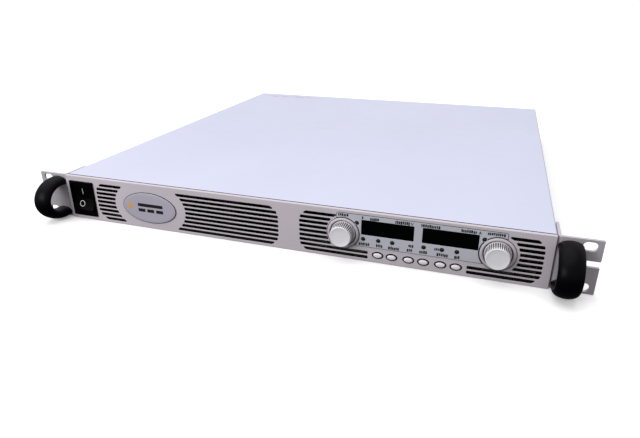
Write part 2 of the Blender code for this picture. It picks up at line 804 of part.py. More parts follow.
def light_guide():
    """One moulded guide behind the panel, with a tip for each of the eight lamps."""
    low_z, high_z = LAMP_ROW_Z - GUIDE_ROW_HALF_HEIGHT, LAMP_ROW_Z + GUIDE_ROW_HALF_HEIGHT
    arm = GUIDE_ARM
    left_x, left_z = LAMP_VOLTAGE
    right_x, right_z = LAMP_CURRENT
    outline = [
        (left_x - arm, low_z),
        (right_x + arm, low_z),
        (right_x + arm, right_z + arm),
        (right_x - arm, right_z + arm),
        (right_x - arm, high_z),
        (left_x + arm, high_z),
        (left_x + arm, left_z + arm),
        (left_x - arm, left_z + arm),
    ]
    back = CONTROL_BOARD_FRONT - GAP
    made = prism("light_guide", outline, GUIDE_FRONT, back, lamp_plastic())
    bm = bmesh.new()
    for place in lamp_places():
        add_turned(bm, lamp_profile(), place, "Y", 10)
    combine(made, bm, "UNION")
    return made


def knob(side, centre):
    """Skirted knob with a blind bore for its shaft. Its origin is on the axis."""
    profile = [
        (KNOB_FACE_RADIUS - 0.0004, KNOB_FRONT),
        (KNOB_FACE_RADIUS, KNOB_FRONT + 0.0006),
        (KNOB_RADIUS - 0.0003, FRONT - 0.0004),
        (KNOB_RADIUS, FRONT + 0.0004),
        (KNOB_RADIUS, KNOB_BACK),
    ]
    made = turned(f"{side}_knob", profile, knob_plastic(), centre, "Y", 36)
    bm = bmesh.new()
    bore = [(KNOB_BORE, SHAFT_FRONT - 0.0004), (KNOB_BORE, KNOB_BACK + OVERCUT)]
    add_turned(bm, bore, centre, "Y", 16)
    combine(made, bm, "DIFFERENCE")
    return made


def knob_shaft(side, centre):
    profile = [(SHAFT_RADIUS, SHAFT_FRONT), (SHAFT_RADIUS, SHAFT_BACK)]
    return turned(f"{side}_shaft", profile, screw_steel(), centre, "Y", 16)


def encoder(side, centre):
    """Rotary encoder body on the control board, bored for the shaft."""
    outline = rectangle(centre, ENCODER_WIDTH, ENCODER_HEIGHT)
    back = CONTROL_BOARD_FRONT - GAP
    made = prism(f"{side}_encoder", outline, ENCODER_FRONT, back, black_plastic())
    collar = [(ENCODER_COLLAR, ENCODER_COLLAR_FRONT), (ENCODER_COLLAR, ENCODER_FRONT + 0.0004)]
    bm = bmesh.new()
    add_turned(bm, collar, centre, "Y", 16)
    combine(made, bm, "UNION")
    bore = [(KNOB_BORE, ENCODER_COLLAR_FRONT - OVERCUT), (KNOB_BORE, ENCODER_BORE_BACK)]
    bm = bmesh.new()
    add_turned(bm, bore, centre, "Y", 16)
    combine(made, bm, "DIFFERENCE")
    return made


def button(name, x):
    """Oval button cap with a narrower stem. It stops short of its contact by its travel."""
    cap = button_outline(x, 0.0)
    centre = (x, FRONT, BUTTON_Z)
    made = prism(name, cap, BUTTON_FRONT, BUTTON_CAP_BACK, knob_plastic(), origin=centre)
    stem = oval((x, BUTTON_Z), *BUTTON_STEM_RADII, 12)
    join_prisms(made, [stem], BUTTON_CAP_BACK - 0.0004, BUTTON_STEM_BACK)
    return made


def control_board():
    outline = span(*CONTROL_BOARD_SPAN)
    front = CONTROL_BOARD_FRONT
    made = prism("control_board", outline, front, front + CONTROL_BOARD_THICKNESS, circuit_board())
    contacts = [rectangle((x, BUTTON_Z), CONTACT_WIDTH, CONTACT_HEIGHT) for _, x in BUTTONS]
    join_prisms(made, contacts, BUTTON_STEM_BACK + BUTTON_TRAVEL + 2 * GAP, front + 0.0005)
    chips = [rectangle((x, CHIP_Z), CHIP_SIDE, CHIP_SIDE) for x in CHIP_COLUMNS]
    join_prisms(made, chips, front + 0.0010, front + CHIP_DEPTH)
    return made


# ---------------------------------------------------------------- ears and handles

def side_name(side):
    return "right" if side > 0 else "left"


def rack_ear(side):
    """L-shaped bracket with two rack slots and a locating notch in its front plate."""
    leg_outer = EAR_INNER + EAR_SHEET
    tip = RACK_WIDTH / 2
    outline = [
        (EAR_INNER, EAR_FRONT),
        (tip, EAR_FRONT),
        (tip, EAR_FRONT + EAR_SHEET),
        (leg_outer, EAR_FRONT + EAR_SHEET),
        (leg_outer, EAR_LEG_BACK),
        (EAR_INNER, EAR_LEG_BACK),
    ]
    outline = [(side * x, y) for x, y in outline]
    name = f"rack_ear_{side_name(side)}"
    made = prism(name, outline, EAR_BOTTOM, EAR_TOP, zinc_steel(), "Z")
    holes = []
    for height in (EAR_SLOT_Z - RACK_HOLE_SPACING / 2, EAR_SLOT_Z + RACK_HOLE_SPACING / 2):
        slot = rounded_rectangle(
            (side * EAR_SLOT_X, height), EAR_SLOT_LENGTH, EAR_SLOT_HEIGHT, EAR_SLOT_HEIGHT / 2 - 1e-5, 5
        )
        holes.append(slot)
    notch = sorted((side * (tip - EAR_NOTCH_DEPTH), side * (tip + 0.002)))
    holes.append(span(*notch, EAR_NOTCH_LOW, EAR_NOTCH_HIGH))
    for height in (HANDLE_LOW, HANDLE_HIGH):
        holes.append(oval((side * HANDLE_X, height), M4_CLEARANCE, M4_CLEARANCE, 12))
    cut_prisms(made, holes, EAR_FRONT - OVERCUT, EAR_FRONT + EAR_SHEET + OVERCUT)
    bm = bmesh.new()
    for height in EAR_SCREW_HEIGHTS:
        ends = sorted((side * (EAR_INNER - OVERCUT), side * (leg_outer + OVERCUT)))
        add_turned(bm, [(M4_CLEARANCE, x) for x in ends], (EAR_SCREW_Y, height), "X", 12)
    combine(made, bm, "DIFFERENCE")
    return made


def handle_path():
    """Centreline of the handle in Y and Z, with its direction, from the lower foot to the upper."""
    foot = EAR_FRONT - GAP
    middle = (HANDLE_LOW + HANDLE_HIGH) / 2
    half = (HANDLE_HIGH - HANDLE_LOW) / 2
    bow = HANDLE_REACH - HANDLE_STRAIGHT
    bend = FRONT - HANDLE_STRAIGHT
    points = [((foot, HANDLE_LOW), (-1.0, 0.0))]
    steps = 14
    for i in range(steps + 1):
        angle = math.pi * i / steps
        place = (bend - bow * math.sin(angle), middle - half * math.cos(angle))
        heading = Vector((-bow * math.cos(angle), half * math.sin(angle))).normalized()
        points.append((place, tuple(heading)))
    points.append(((foot, HANDLE_HIGH), (1.0, 0.0)))
    return points


def handle(side):
    """Bow handle of oval section, bored from behind at both feet for its screws."""
    rings = []
    for (y, z), (along_y, along_z) in handle_path():
        ring = []
        for across, thick in oval((0.0, 0.0), HANDLE_HALF_WIDTH, HANDLE_HALF_THICKNESS, 18):
            ring.append((side * HANDLE_X + across, y - along_z * thick, z + along_y * thick))
        rings.append(ring)
    bm = bmesh.new()
    add_rings(bm, rings)
    made = make_object(f"handle_{side_name(side)}", bm, handle_plastic(), smooth=True)
    bm = bmesh.new()
    foot = EAR_FRONT - GAP
    for height in (HANDLE_LOW, HANDLE_HIGH):
        profile = [(M4_CLEARANCE, foot - HANDLE_HOLE_DEPTH), (M4_CLEARANCE, foot + OVERCUT)]
        add_turned(bm, profile, (side * HANDLE_X, height), "Y", 12)
    combine(made, bm, "DIFFERENCE")
    return made


def handle_screw(side, end, height):
    """Screw from behind the ear into the foot of a handle."""
    back = EAR_FRONT + EAR_SHEET + GAP
    profile = [
        (M4_RADIUS, EAR_FRONT - HANDLE_HOLE_DEPTH + 0.0004),
        (M4_RADIUS, back),
        (M4_HEAD_RADIUS, back),
        (M4_HEAD_RADIUS, back + 0.0018),
        (M4_HEAD_RADIUS * 0.7, back + 0.0025),
    ]
    name = f"handle_screw_{side_name(side)}_{end}"
    return turned(name, profile, screw_steel(), (side * HANDLE_X, height), "Y", 12)


def ear_screw(side, end, height):
    """Screw through the leg of an ear into the tray's side wall."""
    outer = EAR_INNER + EAR_SHEET + GAP
    profile = [
        (M4_RADIUS, side * (HALF_WIDTH - 0.0030)),
        (M4_RADIUS, side * outer),
        (M4_HEAD_RADIUS, side * outer),
        (M4_HEAD_RADIUS, side * (outer + 0.0012)),
        (M4_HEAD_RADIUS * 0.7, side * (outer + 0.0018)),
    ]
    name = f"ear_screw_{side_name(side)}_{end}"
    return turned(name, profile, screw_steel(), (EAR_SCREW_Y, height), "X", 12)


# ---------------------------------------------------------------- fans

def fan_frame(side, x):
    """Square frame with a round bore and a motor plate carried by four struts at the back."""
    back = FAN_FRONT + FAN_DEPTH
    outline = rounded_rectangle((x, FAN_Z), FAN_SIDE, FAN_SIDE, 0.003, 3)
    made = prism(f"fan_frame_{side}", outline, FAN_FRONT, back, black_plastic())
    cut_prisms(made, [oval((x, FAN_Z), FAN_BORE, FAN_BORE)], FAN_FRONT - OVERCUT, back + OVERCUT)
    plate = back - FAN_MOTOR_DEPTH
    struts = [
        rectangle((x, FAN_Z), 2 * FAN_BORE + 0.001, 0.0026),
        rectangle((x, FAN_Z), 0.0026, 2 * FAN_BORE + 0.001),
    ]
    join_prisms(made, struts, plate + 0.0004, back - 0.0002)
    join_prisms(made, [oval((x, FAN_Z), 0.0090, 0.0090, 16)], plate, back)
    return made


def blade_rings(centre, index):
    """Stations of one fan blade from inside the hub to its tip, twisted along its length."""
    rings = []
    heading = math.tau * index / FAN_BLADES
    middle = FAN_FRONT + 0.0085
    for radius in (FAN_HUB_RADIUS - 0.0008, (FAN_HUB_RADIUS + FAN_BLADE_TIP) / 2, FAN_BLADE_TIP):
        half_turn = 0.0052 / radius
        ring = []
        for turn_side, thickness in ((-1, -0.0005), (1, -0.0005), (1, 0.0005), (-1, 0.0005)):
            angle = heading + turn_side * half_turn
            level = middle + turn_side * 0.0050 + thickness
            ring.append((centre[0] + radius * math.cos(angle), level, centre[1] + radius * math.sin(angle)))
        rings.append(ring)
    return rings


def fan_rotor(side, x):
    """Hub and blades. The origin is on the axis of rotation."""
    hub = [
        (FAN_HUB_RADIUS - 0.0010, FAN_FRONT + 0.0010),
        (FAN_HUB_RADIUS, FAN_FRONT + 0.0020),
        (FAN_HUB_RADIUS, FAN_FRONT + FAN_DEPTH - FAN_MOTOR_DEPTH - 0.0006),
    ]
    made = turned(f"fan_rotor_{side}", hub, black_plastic(), (x, FAN_Z), "Y", 20)
    bm = bmesh.new()
    for index in range(FAN_BLADES):
        add_rings(bm, blade_rings((x, FAN_Z), index))
    combine(made, bm, "UNION")
    return made


# ---------------------------------------------------------------- boards and power parts

def main_board():
    outline = span(-BOARD_HALF_WIDTH, BOARD_HALF_WIDTH, BOARD_FRONT, BOARD_BACK)
    return prism("main_board", outline, BOARD_BOTTOM, BOARD_TOP, circuit_board(), "Z")


def heatsink(name, x, fins):
    """Finned extrusion along Y: a base with upright fins."""
    width, height, base, fin = 0.0460, 0.0300, 0.0045, 0.0016
    left, right = x - width / 2, x + width / 2
    pitch = (width - fin) / (fins - 1)
    outline = [(right, PARTS_FLOOR), (right, PARTS_FLOOR + height)]
    for i in range(fins - 1):
        edge = right - fin - pitch * i
        outline.append((edge, PARTS_FLOOR + height))
        outline.append((edge, PARTS_FLOOR + base))
        outline.append((edge - pitch + fin, PARTS_FLOOR + base))
        outline.append((edge - pitch + fin, PARTS_FLOOR + height))
    outline += [(left, PARTS_FLOOR + height), (left, PARTS_FLOOR)]
    return prism(name, outline, FRONT + 0.095, FRONT + 0.300, bare_aluminium())


def transformer():
    """Ferrite core round a wound coil."""
    x, y = -0.030, FRONT + 0.215
    floor = PARTS_FLOOR
    core = span(x - 0.026, x + 0.026, floor, floor + 0.0310)
    made = prism("transformer_core", core, y - 0.012, y + 0.012, ferrite())
    low, high = floor + 0.0065, floor + 0.0245
    windows = [span(x - 0.0195, x - 0.0075, low, high), span(x + 0.0075, x + 0.0195, low, high)]
    cut_prisms(made, windows, y - 0.013, y + 0.013)
    coil = rounded_rectangle((x, y), 0.0380, 0.0470, 0.008, 4)
    winding = prism(
        "transformer_winding", coil, low + GAP, high - GAP, copper_winding(), "Z"
    )
    leg = rectangle((x, y), 0.0156, 0.0246)
    cut_prisms(winding, [leg], low - OVERCUT, high + OVERCUT, "Z")


def capacitor(name, x):
    """Large capacitor lying along Y."""
    radius = 0.0150
    front = FRONT + 0.150
    profile = [
        (radius - 0.0010, front),
        (radius, front + 0.0010),
        (radius, front + 0.0440),
        (radius - 0.0010, front + 0.0450),
    ]
    return turned(name, profile, capacitor_sleeve(), (x, PARTS_FLOOR + radius), "Y", 24)


def toroid(name, centre, outer, inner, height, surface):
    """Wound ring core standing flat on the board."""
    low = PARTS_FLOOR
    outline = oval(centre, outer, outer)
    made = prism(name, outline, low, low + height, surface, "Z", smooth=True)
    cut_prisms(made, [oval(centre, inner, inner)], low - OVERCUT, low + height + OVERCUT, "Z")
    return made


def line_filter():
    outline = rounded_rectangle((-0.165, FRONT + 0.360), 0.050, 0.056, 0.002, 2)
    return prism("line_filter", outline, PARTS_FLOOR, PARTS_FLOOR + 0.028, bare_aluminium(), "Z")


def output_bar(name, x):
    """Flat bus bar that leaves through the back, with a raised pad and a bolt hole outside."""
    front = BOARD_BACK - BAR_LENGTH_INSIDE
    outline = rounded_rectangle((x, (front + BAR_BACK) / 2), BAR_WIDTH, BAR_BACK - front, 0.0015, 2)
    top = BAR_BOTTOM + BAR_THICKNESS
    made = prism(name, outline, BAR_BOTTOM, top - BAR_STEP, tinned_copper(), "Z")
    middle = (REAR_OUTER + OVERCUT + BAR_BACK) / 2
    pad = rounded_rectangle((x, middle), BAR_WIDTH, BAR_BACK - REAR_OUTER - OVERCUT, 0.0015, 2)
    join_prisms(made, [pad], BAR_BOTTOM + BAR_STEP, top, "Z")
    hole = oval((x, BAR_BACK - BAR_HOLE_INSET), BAR_HOLE_RADIUS, BAR_HOLE_RADIUS, 24)
    cut_prisms(made, [hole], BAR_BOTTOM - OVERCUT, top + OVERCUT, "Z")
    return made


def output_insulator():
    """Insulating plate behind the panel opening that both bars pass through."""
    centre = (POSITIVE_BAR_X + NEGATIVE_BAR_X) / 2
    outline = rounded_rectangle((centre, 0.0180), 0.0820, 0.0240, 0.0015, 2)
    back = REAR_INNER - GAP
    made = prism("output_insulator", outline, back - 0.0030, back, black_plastic())
    middle = BAR_BOTTOM + BAR_THICKNESS / 2
    slots = []
    for x in (POSITIVE_BAR_X, NEGATIVE_BAR_X):
        slots.append(rectangle((x, middle), BAR_WIDTH + 2 * GAP, BAR_THICKNESS + 2 * GAP))
    cut_prisms(made, slots, back - 0.004, back + OVERCUT)
    return made


# ---------------------------------------------------------------- rear connectors

def power_inlet():
    """Appliance inlet: flange outside the panel, body through it, three flat pins in the cavity."""
    outer = REAR_OUTER + GAP
    flange = rounded_rectangle((INLET_X, INLET_Z), 0.0340, 0.0300, 0.002, 3)
    made = prism("power_inlet", flange, outer, outer + 0.0020, black_plastic())
    body = rectangle((INLET_X, INLET_Z), 0.0290, 0.0252)
    join_prisms(made, [body], outer - 0.0240, outer + 0.0010)
    cavity = rectangle((INLET_X, INLET_Z), 0.0244, 0.0168)
    cut_prisms(made, [cavity], outer - 0.0160, outer + 0.0030)
    pins = [
        rectangle((INLET_X, INLET_Z + 0.0030), 0.0020, 0.0040),
        rectangle((INLET_X - 0.0070, INLET_Z - 0.0010), 0.0020, 0.0040),
        rectangle((INLET_X + 0.0070, INLET_Z - 0.0010), 0.0020, 0.0040),
    ]
    join_prisms(made, pins, outer - 0.0170, outer - 0.0010)
    return made


def sense_connector():
    """Small five-way terminal plug for the remote sense wires."""
    centre = (SENSE_X, 0.0180)
    front, back = REAR_INNER - 0.0060, REAR_OUTER + 0.0050
    made = prism("sense_connector", rectangle(centre, 0.0210, 0.0100), front, back, black_plastic())
    openings = []
    for i in range(5):
        openings.append(rectangle((SENSE_X + 0.0040 * (i - 2), 0.0160), 0.0026, 0.0030))
    cut_prisms(made, openings, back - 0.0040, back + OVERCUT)
    return made


def signal_connector():
    """D-shaped connector shell with its flange inside the panel."""
    inner = REAR_INNER - GAP
    flange = rounded_rectangle((SIGNAL_X, 0.0180), 0.0530, 0.0125, 0.002, 2)
    made = prism("signal_connector", flange, inner - 0.0012, inner, plated_steel())
    half_top, half_bottom, half_height = 0.0193, 0.0179, 0.0042
    shell = [
        (SIGNAL_X - half_bottom, 0.0180 - half_height),
        (SIGNAL_X + half_bottom, 0.0180 - half_height),
        (SIGNAL_X + half_top, 0.0180 + half_height),
        (SIGNAL_X - half_top, 0.0180 + half_height),
    ]
    join_prisms(made, [shell], inner - 0.0060, REAR_OUTER + 0.0050)
    return made


def network_jacks():
    """Two side-by-side jack sockets in one shell."""
    front, back = REAR_INNER - 0.0140, REAR_OUTER + 0.0006
    outline = rectangle((JACKS_X, 0.0180), 0.0300, 0.0130)
    made = prism("network_jacks", outline, front, back, black_plastic())
    sockets = []
    for x in jack_centres():
        sockets.append(rectangle((x, 0.0175), 0.0118, 0.0080))
    cut_prisms(made, sockets, front + 0.0020, back + OVERCUT)
    return made


def jack_centres():
    return (JACKS_X - 0.0072, JACKS_X + 0.0072)


def ground_stud():
    """Threaded stud with its head inside the panel."""
    inner = REAR_INNER - GAP
    profile = [
        (0.0038, inner - 0.0020),
        (0.0038, inner),
        (M4_RADIUS, inner),
        (M4_RADIUS, REAR_OUTER + 0.0110),
    ]
    return turned("ground_stud", profile, brass_plating(), (STUD_X, STUD_Z), "Y", 16)


def ground_nut():
    low = REAR_OUTER + GAP
    outline = oval((STUD_X, STUD_Z), 0.0040, 0.0040, 6)
    made = prism("ground_nut", outline, low, low + 0.0032, brass_plating())
    cut_prisms(made, [oval((STUD_X, STUD_Z), 0.0022, 0.0022, 16)], low - OVERCUT, low + 0.004)
    return made


# ---------------------------------------------------------------- assembly

def build_case():
    chassis_tray()
    top_cover()
    front_subpanel()
    rear_panel()
    front_bezel()
    control_label()
    name_badge()


def build_controls():
    power_switch_body()
    power_rocker()
    for side, x in zip(("voltage", "current"), DISPLAY_CENTRES):
        display(side, x)
    for side, centre in knob_centres():
        knob(side, centre)
        knob_shaft(side, centre)
        encoder(side, centre)
    for name, x in BUTTONS:
        button(name, x)
    light_guide()
    control_board()


def build_ears():
    for side in (-1, 1):
        rack_ear(side)
        handle(side)
        for end, height in (("low", HANDLE_LOW), ("high", HANDLE_HIGH)):
            handle_screw(side, end, height)
        for end, height in zip(("low", "high"), EAR_SCREW_HEIGHTS):
            ear_screw(side, end, height)


def build_inside():
    for side, x in FAN_CENTRES:
        fan_frame(side, x)
        fan_rotor(side, x)
    main_board()
    heatsink("primary_heatsink", -0.100, 9)
    heatsink("secondary_heatsink", 0.050, 9)
    transformer()
    capacitor("bulk_capacitor", -0.165)
    toroid("output_inductor", (0.130, FRONT + 0.230), 0.026, 0.010, 0.024, copper_winding())
    line_filter()


def build_back():
    output_bar("output_bar_positive", POSITIVE_BAR_X)
    output_bar("output_bar_negative", NEGATIVE_BAR_X)
    output_insulator()
    power_inlet()
    sense_connector()
    signal_connector()
    network_jacks()
    ground_stud()
    ground_nut()


def main():
    clear_scene()
    build_case()
    build_controls()
    build_ears()
    build_inside()
    build_back()


main()
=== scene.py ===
import math
import random

import bmesh
import bpy
from mathutils import Matrix, Vector


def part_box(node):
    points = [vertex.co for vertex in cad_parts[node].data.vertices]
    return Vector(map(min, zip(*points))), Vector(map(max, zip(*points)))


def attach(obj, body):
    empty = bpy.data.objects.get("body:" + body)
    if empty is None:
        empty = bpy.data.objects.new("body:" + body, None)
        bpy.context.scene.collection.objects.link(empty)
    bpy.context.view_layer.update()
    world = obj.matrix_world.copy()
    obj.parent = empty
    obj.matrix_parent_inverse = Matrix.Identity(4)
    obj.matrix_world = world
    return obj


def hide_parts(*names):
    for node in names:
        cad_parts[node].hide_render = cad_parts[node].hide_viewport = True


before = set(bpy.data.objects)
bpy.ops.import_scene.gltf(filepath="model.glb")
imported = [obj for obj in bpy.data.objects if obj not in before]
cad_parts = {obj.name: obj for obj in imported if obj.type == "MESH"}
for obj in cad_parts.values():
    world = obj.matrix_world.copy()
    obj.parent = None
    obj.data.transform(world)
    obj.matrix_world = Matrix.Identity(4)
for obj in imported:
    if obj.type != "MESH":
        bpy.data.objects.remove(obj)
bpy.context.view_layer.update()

# ---- sizes, in metres

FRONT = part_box("front_bezel")[0].y
BEZEL_LOW, BEZEL_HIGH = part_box("front_bezel")
BEZEL_WALL = 0.0023
BEZEL_RIM = 0.0018
HOLE_MARGIN = 0.0003

VENT_ROWS = 9
VENT_PITCH = 0.004
VENT_FIRST_ROW = 0.004
VENT_HALF_HEIGHT = 0.0013
VENT_TOP = 0.038
VENT_BOTTOM = 0.002
VENT_A_LEFT = -0.1785
VENT_B_RIGHT = 0.002
VENT_C_LEFT = 0.0205
VENT_D_RIGHT = 0.2053
VENT_KNOB_SHIFT = 0.0007
VENT_END_RADIUS = 0.0007
# Corner radii of each block of vents, at the top and at the bottom.
VENT_CORNERS = {
    "a": (0.0097, 0.0126), "b": (0.0110, 0.0100), "c": (0.0092, 0.0092), "d": (0.0088, 0.0092),
}
VENT_UNDER_KNOBS = 0.010
VENT_UNDER_KNOBS_REACH = 0.0379

BADGE = (-0.1223, 0.0202)
BADGE_RADII = (0.027, 0.014)
BADGE_CLEARANCE = (0.0365, 0.0253)

CONTROL_X = 0.1158
KNOB_SPREAD = 0.0584
KNOB_Z = 0.0223
KNOB_FRONT = FRONT - 0.009
KNOB_HOLE_RADIUS = 0.0106
KNOB_CLEARANCE = (0.0143, 0.0158)
LABEL_BOTTOM = 0.0128
LABEL_TOP = 0.0398
LABEL_HALF_WIDTH = 0.0640
LABEL_ARC_RADIUS = 0.0134
LABEL_FRONT = FRONT - 0.0004
LABEL_INK = (LABEL_FRONT - 0.00006, LABEL_FRONT + 0.00001)
DISPLAY_CENTRES = (0.0926, 0.1398)
DISPLAY_WIDTH = 0.0404
DISPLAY_HEIGHT = 0.0121
DISPLAY_Z = 0.02935
LAMP_RADIUS = 0.0015
LAMP_TIP = 0.0015
GUIDE_ARM = 0.0018
GUIDE_ROW_HALF_HEIGHT = 0.0017
LAMP_ROW_Z = 0.0195
LAMP_ROW_X = (0.0740, 0.0860, 0.0970, 0.1210, 0.1345, 0.1455)
LAMPS = [(x, LAMP_ROW_Z) for x in LAMP_ROW_X] + [(0.0685, 0.0325), (0.1640, 0.0325)]
BUTTONS = ("fine", "preview", "protection", "limit", "remote", "output")
BUTTON_X = (0.0860, 0.0970, 0.1101, 0.1215, 0.1344, 0.1459)
BUTTON_Z = 0.0068
BUTTON_WIDTH = 0.0070
BUTTON_HEIGHT = 0.0038
BUTTON_HOLE_MARGIN = 0.0012
BUTTON_FRONT = FRONT - 0.0013

SWITCH = (-0.1940, 0.02075)
SWITCH_WIDTH = 0.0260
SWITCH_HEIGHT = 0.0335
SWITCH_FRONT = FRONT - 0.0017
ROCKER_WIDTH = 0.0216
ROCKER_HEIGHT = 0.0240
ROCKER_PIVOT_Y = FRONT + 0.0022
ROCKER_TILT = math.radians(10)
SWITCH_BODY = (0.0244, 0.0298)
SWITCH_CAVITY_DEPTH = 0.0140
SWITCH_DEPTH = 0.0238
ROCKER_MARK_WIDTH = 0.0004

HALF_WIDTH = 0.2114
EAR_FRONT = FRONT + 0.0015
EAR_SHEET = 0.0020
EAR_INNER = HALF_WIDTH + 0.0003
EAR_LEG_BACK = FRONT + 0.0280
EAR_TIP = 0.2413
EAR_SLOT_X = 0.2328
EAR_SLOT_Z = (0.005125, 0.036875)
EAR_NOTCH = (0.0214, 0.0260)
EAR_NOTCH_DEPTH = 0.0095
EAR_BEND_RADIUS = 0.0028
EAR_LOW, EAR_HIGH = 0.0001, 0.0421
EAR_SCREW_Z = (0.0085, 0.0225)
SCREW_HOLE = 0.0022
EAR_SCREW_Y = FRONT + 0.0185
HANDLE_X = 0.2207
HANDLE_LOW = 0.0049
HANDLE_HIGH = 0.0353
HANDLE_REACH = 0.0224
HANDLE_STRAIGHT = 0.0030
HANDLE_RADII = (0.0085, 0.0047)

REAR_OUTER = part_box("rear_panel")[1].y
CASE_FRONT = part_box("top_cover")[0].y
CASE_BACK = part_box("top_cover")[1].y
CASE_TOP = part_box("top_cover")[1].z
CONNECTOR_Z = 0.0180
THREAD_PITCH = 0.0007
INLET = (-0.165, 0.0208)
EARTH = (-0.128, 0.0130)
SIGNAL_X = -0.023
SENSE_X = 0.078
JACKS_X = 0.039
JACK_SHIFTS = (-0.0072, 0.0072)


# ---- outlines

def arc(centre, radius_a, radius_b, start, end, steps):
    points = []
    for i in range(steps + 1):
        angle = start + (end - start) * i / steps
        points.append((centre[0] + radius_a * math.cos(angle), centre[1] + radius_b * math.sin(angle)))
    return points


def oval(centre, radius_a, radius_b, steps=48):
    return arc(centre, radius_a, radius_b, 0.0, math.tau * (1 - 1 / steps), steps - 1)


def circle(centre, radius, steps=24):
    return oval(centre, radius, radius, steps)


def rectangle(centre, width, height):
    a, b = centre
    return [
        (a - width / 2, b - height / 2),
        (a + width / 2, b - height / 2),
        (a + width / 2, b + height / 2),
        (a - width / 2, b + height / 2),
    ]


def rounded(points, radius, steps=4):
    """A counter-clockwise polygon with each corner turned into an arc."""
    made = []
    count = len(points)
    for i in range(count):
        before, corner, after = (Vector(points[(i + k) % count]) for k in (-1, 0, 1))
        come, leave = corner - before, after - corner
        turn = math.atan2(come.x * leave.y - come.y * leave.x, come.dot(leave))
        if abs(turn) < 1e-3:
            made.append(tuple(corner))
            continue
        cut = min(radius * math.tan(abs(turn) / 2), come.length * 0.49, leave.length * 0.49)
        used = cut / math.tan(abs(turn) / 2)
        heading = math.atan2(come.y, come.x)
        side = math.copysign(1.0, turn)
        start = corner - come.normalized() * cut
        centre = start + Vector((-math.sin(heading), math.cos(heading))) * side * used
        for k in range(steps + 1):
            angle = heading - side * math.pi / 2 + turn * k / steps
            made.append((centre.x + used * math.cos(angle), centre.y + used * math.sin(angle)))
    return made


def rounded_box(centre, width, height, radius, steps=4):
    return rounded(rectangle(centre, width, height), radius, steps)


def offset(outline, distance):
    """A counter-clockwise outline moved outwards by a distance, point by point."""
    moved = []
    count = len(outline)
    for i in range(count):
        before, point, after = (Vector(outline[(i + k) % count]) for k in (-1, 0, 1))
        first, second = (point - before).normalized(), (after - point).normalized()
        normal_a, normal_b = Vector((first.y, -first.x)), Vector((second.y, -second.x))
        middle = (normal_a + normal_b).normalized()
        moved.append(tuple(point + middle * distance / max(middle.dot(normal_a), 0.4)))
    return moved


def mirrored(points, about):
    return [(2 * about - a, b) for a, b in reversed(points)]


# ---- meshes
# A flat part is built in (across, up, depth) and is then put in its place.

def on_front(point):
    return Vector((point[0], FRONT + point[2], point[1]))


def on_back(point):
    return Vector((point[0], REAR_OUTER - point[2], point[1]))


def add_loop(bm, outline, depth):
    return [bm.verts.new((a, b, depth)) for a, b in outline]


def bridge(bm, loops):
    faces = []
    for before, after in zip(loops, loops[1:]):
        count = len(before)
        for i in range(count):
            j = (i + 1) % count
            faces.append(bm.faces.new((before[j], before[i], after[i], after[j])))
    return faces


def fill(bm, loops):
    """Closes the flat region between an outer loop and the loops inside it."""
    edges = []
    for loop in loops:
        for first, second in zip(loop, loop[1:] + loop[:1]):
            edges.append(bm.edges.get((first, second)) or bm.edges.new((first, second)))
    bmesh.ops.triangle_fill(bm, use_beauty=True, edges=edges)


def rim(outline, side, front, back, edge, steps=3):
    """Rings down the wall of an outline or of a hole, from its rounded front edge to its back."""
    rings = []
    for i in range(steps + 1):
        angle = math.pi / 2 * i / steps
        shift = -side * edge * (1 - math.sin(angle))
        rings.append((offset(outline, shift), front + edge * (1 - math.cos(angle))))
    rings.append((outline, back))
    return rings


def add_plate(bm, outline, holes, front, back, edge):
    """Closed plate with holes, all of its front edges rounded."""
    fronts, backs = [], []
    for index, shape in enumerate([outline] + holes):
        side = 1 if index == 0 else -1
        loops = [add_loop(bm, ring, depth) for ring, depth in rim(shape, side, front, back, edge)]
        bridge(bm, loops)
        fronts.append(loops[0])
        backs.append(loops[-1])
    fill(bm, fronts)
    fill(bm, backs)


def put(bm, place):
    for vert in bm.verts:
        vert.co = place(vert.co)


def add_skin(bm, rings):
    """Closed skin through rings of points, with a flat cap at each end."""
    loops = [[bm.verts.new(point) for point in ring] for ring in rings]
    bridge(bm, loops)
    bm.faces.new(loops[0])
    bm.faces.new(list(reversed(loops[-1])))


def along(axis, centre, a, b, level):
    """A point beside an axis, at a level along it."""
    if axis == "X":
        return (level, centre[0] + a, centre[1] + b)
    if axis == "Y":
        return (centre[0] + a, level, centre[1] + b)
    return (centre[0] + a, centre[1] + b, level)


def add_ring(bm, outline, level, axis, centre):
    """The points of an outline, at a level along an axis."""
    return [bm.verts.new(along(axis, centre, a, b, level)) for a, b in outline]


def add_turned(bm, profile, centre, steps):
    rings = []
    for radius, level in profile:
        rings.append([along("Y", centre, a, b, level) for a, b in circle((0, 0), radius, steps)])
    add_skin(bm, rings)


def add_prism(bm, outline, low, high, axis="Y"):
    rings = []
    for level in (low, high):
        rings.append([along(axis, (0, 0), a, b, level) for a, b in outline])
    add_skin(bm, rings)


def make(name, bm, surfaces, slot, body="chassis", nodes=(), angle=40, flat=True, bevel=0.0):
    """Turns a mesh into a piece that rides on a CAD body and stands for CAD nodes."""
    bmesh.ops.recalc_face_normals(bm, faces=bm.faces)
    mesh = bpy.data.meshes.new(name)
    bm.to_mesh(mesh)
    bm.free()
    made = bpy.data.objects.new(name, mesh)
    bpy.context.scene.collection.objects.link(made)
    for surface in surfaces if isinstance(surfaces, (list, tuple)) else [surfaces]:
        mesh.materials.append(surface)
    mesh.shade_smooth()
    mesh.set_sharp_from_angle(angle=math.radians(angle))
    if bevel:
        round_edges(made, bevel)
    elif flat:
        made.modifiers.new("Flat faces", "WEIGHTED_NORMAL").keep_sharp = True
    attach(made, body)
    if nodes:
        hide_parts(*nodes)
    return made


